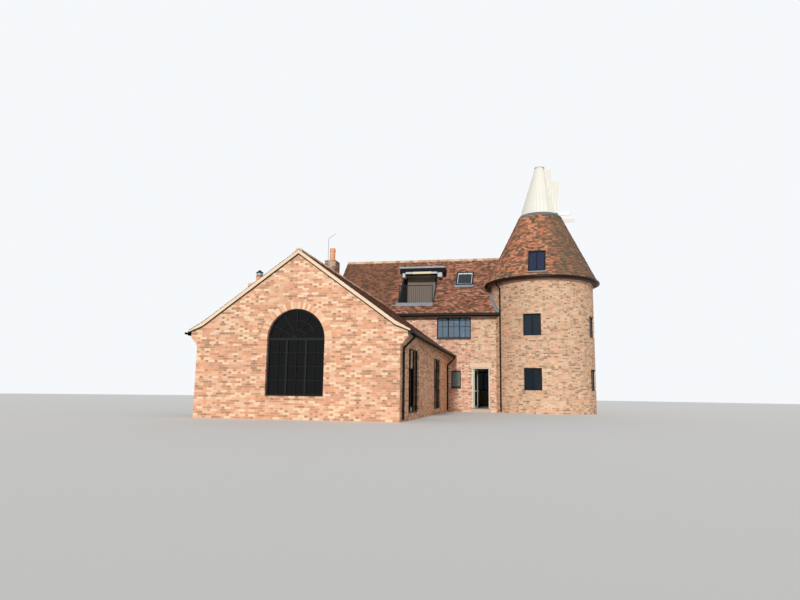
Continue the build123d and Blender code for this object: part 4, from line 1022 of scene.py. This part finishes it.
# The roof terrace: a flat lead-topped canopy over a balcony let into the slope, with a black
# fascia, a pale lintel, light upstands, and lead dressed over its sill.
finish_node(plain_finish("black boards", (18, 19, 20), 0.6, grain=(30.0, 0.06), gloss=0.1),
            "fascia_boards", "terrace_canopy")
finish_node(plain_finish("blind fabric", (131, 114, 100), 0.6, grain=(90.0, 0.05)), "terrace_screen")
# The back wall's head above the screen takes a pale cloth colour, lighter than the screen: painted light
# against the canopy's shade on it. Below it the wall is black metal.
screen_head_z = 7.28
finish_node(two_tone("screen frame with painted light", (176, 154, 136), (24, 26, 29), "Z", screen_head_z + hair),
            "terrace_back_wall")
finish_node(plain_finish("terrace cladding", (48, 56, 58), 0.6, gloss=0.2), "terrace_cheeks")
finish_node(plain_finish("grey decking", (120, 116, 110), 0.8), "terrace_deck")
lead = plain_finish("dressed lead", (150, 156, 162), 0.55, metallic=0.2, grain=(12.0, 0.08), patch=(2.5, 0.1),
                    depth=0.002)
pale_board = plain_finish("pale board", (206, 210, 212), 0.6)
cream_board = plain_finish("cream board", (240, 226, 186), 0.6)
terrace_left_x, terrace_right_x = -7.38, -5.57
canopy_left_x, canopy_right_x, canopy_front_y, canopy_back_y = -7.54, -5.07, 0.3, 1.34
canopy_foot_z, canopy_top_z = 7.4, 7.7
add_boxes("terrace_canopy_lead", [
    ((canopy_left_x - 0.02, canopy_front_y - 0.02, canopy_top_z),
     (canopy_right_x + 0.01, canopy_back_y, canopy_top_z + 0.03)),
    ((canopy_left_x - 0.03, canopy_front_y - 0.03, canopy_top_z - 0.05),
     (canopy_right_x + 0.015, canopy_front_y - 0.002, canopy_top_z + 0.045)),
], lead, edge=0.008)
bracket_foot_z, bracket_back_y = 7.16, 0.78
add_boxes("terrace_brackets", [
    ((left, canopy_front_y + 0.01, bracket_foot_z), (right, bracket_back_y, canopy_foot_z))
    for left, right in ((-7.40, -7.25), (-5.46, -5.22))
], pale_board, edge=0.008)
board_front_y, board_back_y = canopy_front_y - 0.022, canopy_front_y + 0.06
for name, boards, material in (
    ("terrace_head_board", ((-6.83, -5.78, 7.335, 7.455),), cream_board),
    ("terrace_head_ends", ((-7.22, -6.84, 7.345, 7.45), (-5.77, -5.48, 7.335, 7.44)), pale_board),
):
    add_boxes(name, [
        ((left, board_front_y, foot), (right, board_back_y, head)) for left, right, foot, head in boards
    ], material, edge=0.005)
sill_profile = [(-1.0, 5.40), (-0.81, 5.59), (-0.7, 5.59), (-0.7, 5.575), (-0.80, 5.575), (-1.0, 5.375)]
run_profile("terrace_sill_lead", [(terrace_left_x - 0.12, y, z) for y, z in sill_profile],
            (terrace_right_x - terrace_left_x + 0.14, 0, 0), lead)
mortar_profile = [(-0.95, 5.44), (-0.93, 5.46), (-0.9, 5.46), (-0.9, 5.40)]
run_profile("terrace_sill_pointing", [(-7.74, y, z) for y, z in mortar_profile], (0.26, 0, 0),
            cream_board)

# Roof lights: black metal windows, each with a light inner frame, white fixings at the head and a
# lead apron dressed over the tiles below.
roof_light_foot, roof_light_head = roof_window_hole[2], roof_window_hole[3]
roof_light_left, roof_light_right = roof_window_hole[:2]
roof_light_place = flat_place((0, main_eaves_front_y, main_eaves_z), (1, 0, 0), (0, 1, 1))


def slope_bars(name, bars, place, material):
    """Flat bars lying on a slope, each given as left, right, foot, head, underside and top."""
    blocks = []
    for left, right, foot, head, low, high in bars:
        blocks.append(([(left, foot), (right, foot), (right, head), (left, head)], [high] * 4, low, 0.5))
    return lay(name, blocks, place, material)


slope_bars("roof_light_apron", [
    (roof_light_left - 0.06, roof_light_right + 0.02, roof_light_foot - 0.19, roof_light_foot, 0.0, 0.034),
], roof_light_place, lead)
outer_frame, inner_frame, frame_top = 0.075, 0.035, 0.05
inner_left, inner_right = roof_light_left + outer_frame, roof_light_right - outer_frame
inner_foot, inner_head = roof_light_foot + outer_frame, roof_light_head - outer_frame
pane_foot, pane_head = inner_foot + inner_frame, inner_head - inner_frame
slope_bars("roof_light_inner_frame", [
    (inner_left, inner_right, inner_foot, pane_foot, 0.0, frame_top),
    (inner_left, inner_right, pane_head, inner_head, 0.0, frame_top),
    (inner_left, inner_left + inner_frame, pane_foot, pane_head, 0.0, frame_top),
    (inner_right - inner_frame, inner_right, pane_foot, pane_head, 0.0, frame_top),
], roof_light_place, pale_board)
fixing_pitch = 0.26
fixing_starts = [inner_left + fixing_pitch * step for step in range(3)]
slope_bars("roof_light_blocks", [
    (start + 0.02, start + 0.24, inner_head - 0.12, inner_head - 0.02, 0.0, 0.054) for start in fixing_starts
], roof_light_place, plain_finish("white fixings", (240, 240, 228), 0.6))


def cone_light_place(u, v, height):
    """On the flat of the cone's window: across it, up it and out of it."""
    middle = cone_place(cone_window_bearing, v, height)
    return middle + Vector((-math.sin(cone_window_bearing), math.cos(cone_window_bearing), 0)) * u


slope_bars("cone_light_sill", [
    (-cone_window_half - 0.03, cone_window_half + 0.03, cone_window_low - 0.06, cone_window_low, -0.02, 0.05),
], cone_light_place, lead)

# Lead flashings: where the main slope meets the round tower, a strip turned up its wall over a foot
# dressed on the tiles, and a collar over the top course of the cone.
flashing_start, flashing_end, flashing_steps = 179.0, 213.8, 20
turned_up, dressed_out, flashing_gap, flashing_thick = 0.15, 0.11, 0.03, 0.006


def upstand_place(u, v, height):
    """On the tower's wall by its bearing, from the main slope up."""
    radius = tower_radius + height
    return Vector((radius * math.cos(u), radius * math.sin(u), main_top(tower_radius * math.sin(u)) + v))


def foot_place(u, v, height):
    """On the main slope by the tower's bearing, from just off its wall outwards."""
    radius = tower_radius + 0.01 + v
    z = main_top(radius * math.sin(u)) + height / root_half
    return Vector((radius * math.cos(u), radius * math.sin(u), z))


upstand_blocks, foot_blocks = [], []
for step in range(flashing_steps):
    a, b = [math.radians(flashing_start + (flashing_end - flashing_start) * (step + end) / flashing_steps)
            for end in (0, 1)]
    upstand_blocks.append(([(a, 0), (b, 0), (b, turned_up), (a, turned_up)], [0.022] * 4, 0.0, 0.5))
    foot_blocks.append(([(b, 0), (a, 0), (a, dressed_out), (b, dressed_out)],
                        [flashing_gap + flashing_thick] * 4, flashing_gap, 0.5))
lay("tower_flashing_upstand", upstand_blocks, upstand_place, lead)
lay("tower_flashing_foot", foot_blocks, foot_place, lead)
collar_depth, collar_steps = 0.13, 48
collar_foot = cone_length - collar_depth
collar_blocks = []
for step in range(collar_steps):
    a, b = [2 * math.pi * (step + end) / collar_steps for end in (0, 1)]
    outline = [(a, collar_foot), (b, collar_foot), (b, cone_length), (a, cone_length)]
    collar_blocks.append((outline, [0.034, 0.034, 0.02, 0.02], -0.002, 0.5))
weathered_lead = plain_finish("weathered lead", (106, 118, 126), 0.6, grain=(12.0, 0.08), patch=(2.5, 0.1),
                              depth=0.002)
lay("cone_collar", collar_blocks, cone_place, weathered_lead)

# The cowl: tarred boards painted white, on a lead-dressed curb, with a jagged finger board that
# turns it to the wind.
cowl_boards = 32
cheek_board_width = 0.14
cowl_foot_z, cowl_top_z, cowl_top_radius, cowl_top_shift = 10.165, 12.865, 0.24, 0.045


def white_boards(name, white, seams):
    """White painted boards, with a fine dark seam between each whole number of seams, a value across them."""
    material = plain_finish(name, white, 0.5, grain=(25.0, 0.02), patch=(1.2, 0.03), depth=0.0006)
    tree = material.node_tree
    shader = tree.nodes["Principled BSDF"]
    axes = add_node(tree, "SeparateXYZ", Vector=add_node(tree, "TexCoord").outputs["Object"]).outputs
    value = seams(tree, axes)
    near = maths(tree, "ABSOLUTE", maths(tree, "SUBTRACT", maths(tree, "FRACT", value), 0.5))
    seam = maths(tree, "GREATER_THAN", near, 0.465)
    painted = shader.inputs["Base Color"].links[0].from_socket
    dark = maths(tree, "MULTIPLY", seam, 0.22)
    mixed = add_node(tree, "MixRGB", Fac=dark, Color1=painted, Color2=paint(168, 160, 140))
    tree.links.new(mixed.outputs[0], shader.inputs["Base Color"])
    bump = shader.inputs["Normal"].links[0].from_node
    bump.inputs["Distance"].default_value = 0.004
    tree.links.new(maths(tree, "SUBTRACT", 1.0, seam), bump.inputs["Height"])
    return material


finish_node(white_boards("cowl boards", (252, 249, 236), lambda tree, axes: maths(
    tree, "MULTIPLY", maths(tree, "ARCTAN2", axes["Y"], axes["X"]), cowl_boards / (2 * math.pi),
)), "cowl_hood")
finish_node(white_boards("cheek boards", (241, 236, 221), lambda tree, axes: maths(
    tree, "DIVIDE", maths(tree, "MULTIPLY_ADD", axes["Z"], -0.08, axes["X"]), cheek_board_width,
)), "cowl_cheeks")
finish_node(plain_finish("finger boards", (252, 249, 240), 0.5, grain=(25.0, 0.02)), "cowl_fingers")
bpy.ops.object.select_all(action="DESELECT")
bpy.ops.mesh.primitive_cone_add(vertices=32, radius1=cowl_top_radius + 0.035, radius2=0.05, depth=0.075,
                                location=(cowl_top_shift, 0, cowl_top_z + 0.031))
cap_lead = bpy.context.object
bpy.ops.object.transform_apply(location=True, rotation=True, scale=True)
rolled = cap_lead.modifiers.new("rolled", "BEVEL")
rolled.width = 0.01
bpy.ops.object.modifier_apply(modifier="rolled")
dress(cap_lead, "cowl_cap_lead", lead, "cowl")
finish_node(weathered_lead, "cowl_curb")
oiled_timber = plain_finish("oak", (120, 92, 66), 0.7, grain=(14.0, 0.12), depth=0.001)
finish_node(oiled_timber, "cowl_beam", "cowl_spindle", "upper_floors")

# The cowl's cover strips: a narrow painted batten nailed down each side, over the joint between the
# hood's boards and those that run back to the mouth.
cowl_foot_radius = 1.02
strip_half, strip_proud, strip_steps = 0.02, 0.016, 12
strip_foot_z, strip_head_z = 10.24, 12.8
joint_x, joint_lean, joint_z = 0.235, 0.084, 12.75


def cowl_place(u, v, height):
    """The hood's face by its bearing and height."""
    share = (v - cowl_foot_z) / (cowl_top_z - cowl_foot_z)
    radius = cowl_foot_radius + share * (cowl_top_radius - cowl_foot_radius) + height
    return Vector((cowl_top_shift * share + radius * math.cos(u), radius * math.sin(u), v))


strip_blocks = []
for side in (-1, 1):
    edges = []
    for step in range(strip_steps + 1):
        z = strip_foot_z + (strip_head_z - strip_foot_z) * step / strip_steps
        share = (z - cowl_foot_z) / (cowl_top_z - cowl_foot_z)
        radius = cowl_place(0, z, 0).x - cowl_top_shift * share
        reach = joint_x + joint_lean * (joint_z - z) - cowl_top_shift * share
        bearing = side * math.acos(reach / radius)
        edges.append(((bearing - strip_half / radius, z), (bearing + strip_half / radius, z)))
    for (a, b), (d, c) in zip(edges, edges[1:]):
        strip_blocks.append(([a, b, c, d], [strip_proud] * 4, -0.012, 0.5))
strip_paint = plain_finish("strip paint", (232, 227, 211), 0.5)
lay("cowl_strips", strip_blocks, cowl_place, strip_paint, "cowl")

# Sills, steps, floors and rainwater goods: dark sills under the windows, a stone step at the door
# and black gutters and pipes along the eaves.
black_plastic = plain_finish("black plastic", (20, 20, 22), 0.4, depth=0.0002, gloss=0.16)
finish_node(black_plastic, "gutters", "downpipes")
wing_pipe_out, tower_pipe = 3.468, (-2.075, -1.564)
collar_places = [(wing_axis_x + side * wing_pipe_out, y, z)
                 for side in (-1, 1) for y in (-13.21, -1.51) for z in (0.3, 1.2, 2.1)]
collar_places += [(*tower_pipe, z) for z in (0.3, 1.7, 3.1, 4.5)]
turned("pipe_collars", [(0.037, 0), (0.048, 0.006), (0.048, 0.055), (0.037, 0.061)], collar_places,
       black_plastic, sides=12)
finish_node(plain_finish("dark sill", (70, 66, 62), 0.7), "window_sills")
finish_node(plain_finish("york stone", (206, 190, 162), 0.85, grain=(25.0, 0.1), depth=0.002), "door_step")
finish_node(plain_finish("screed", (150, 146, 140), 0.9), "wing_floor", "main_ground_floor", "tower_floors")
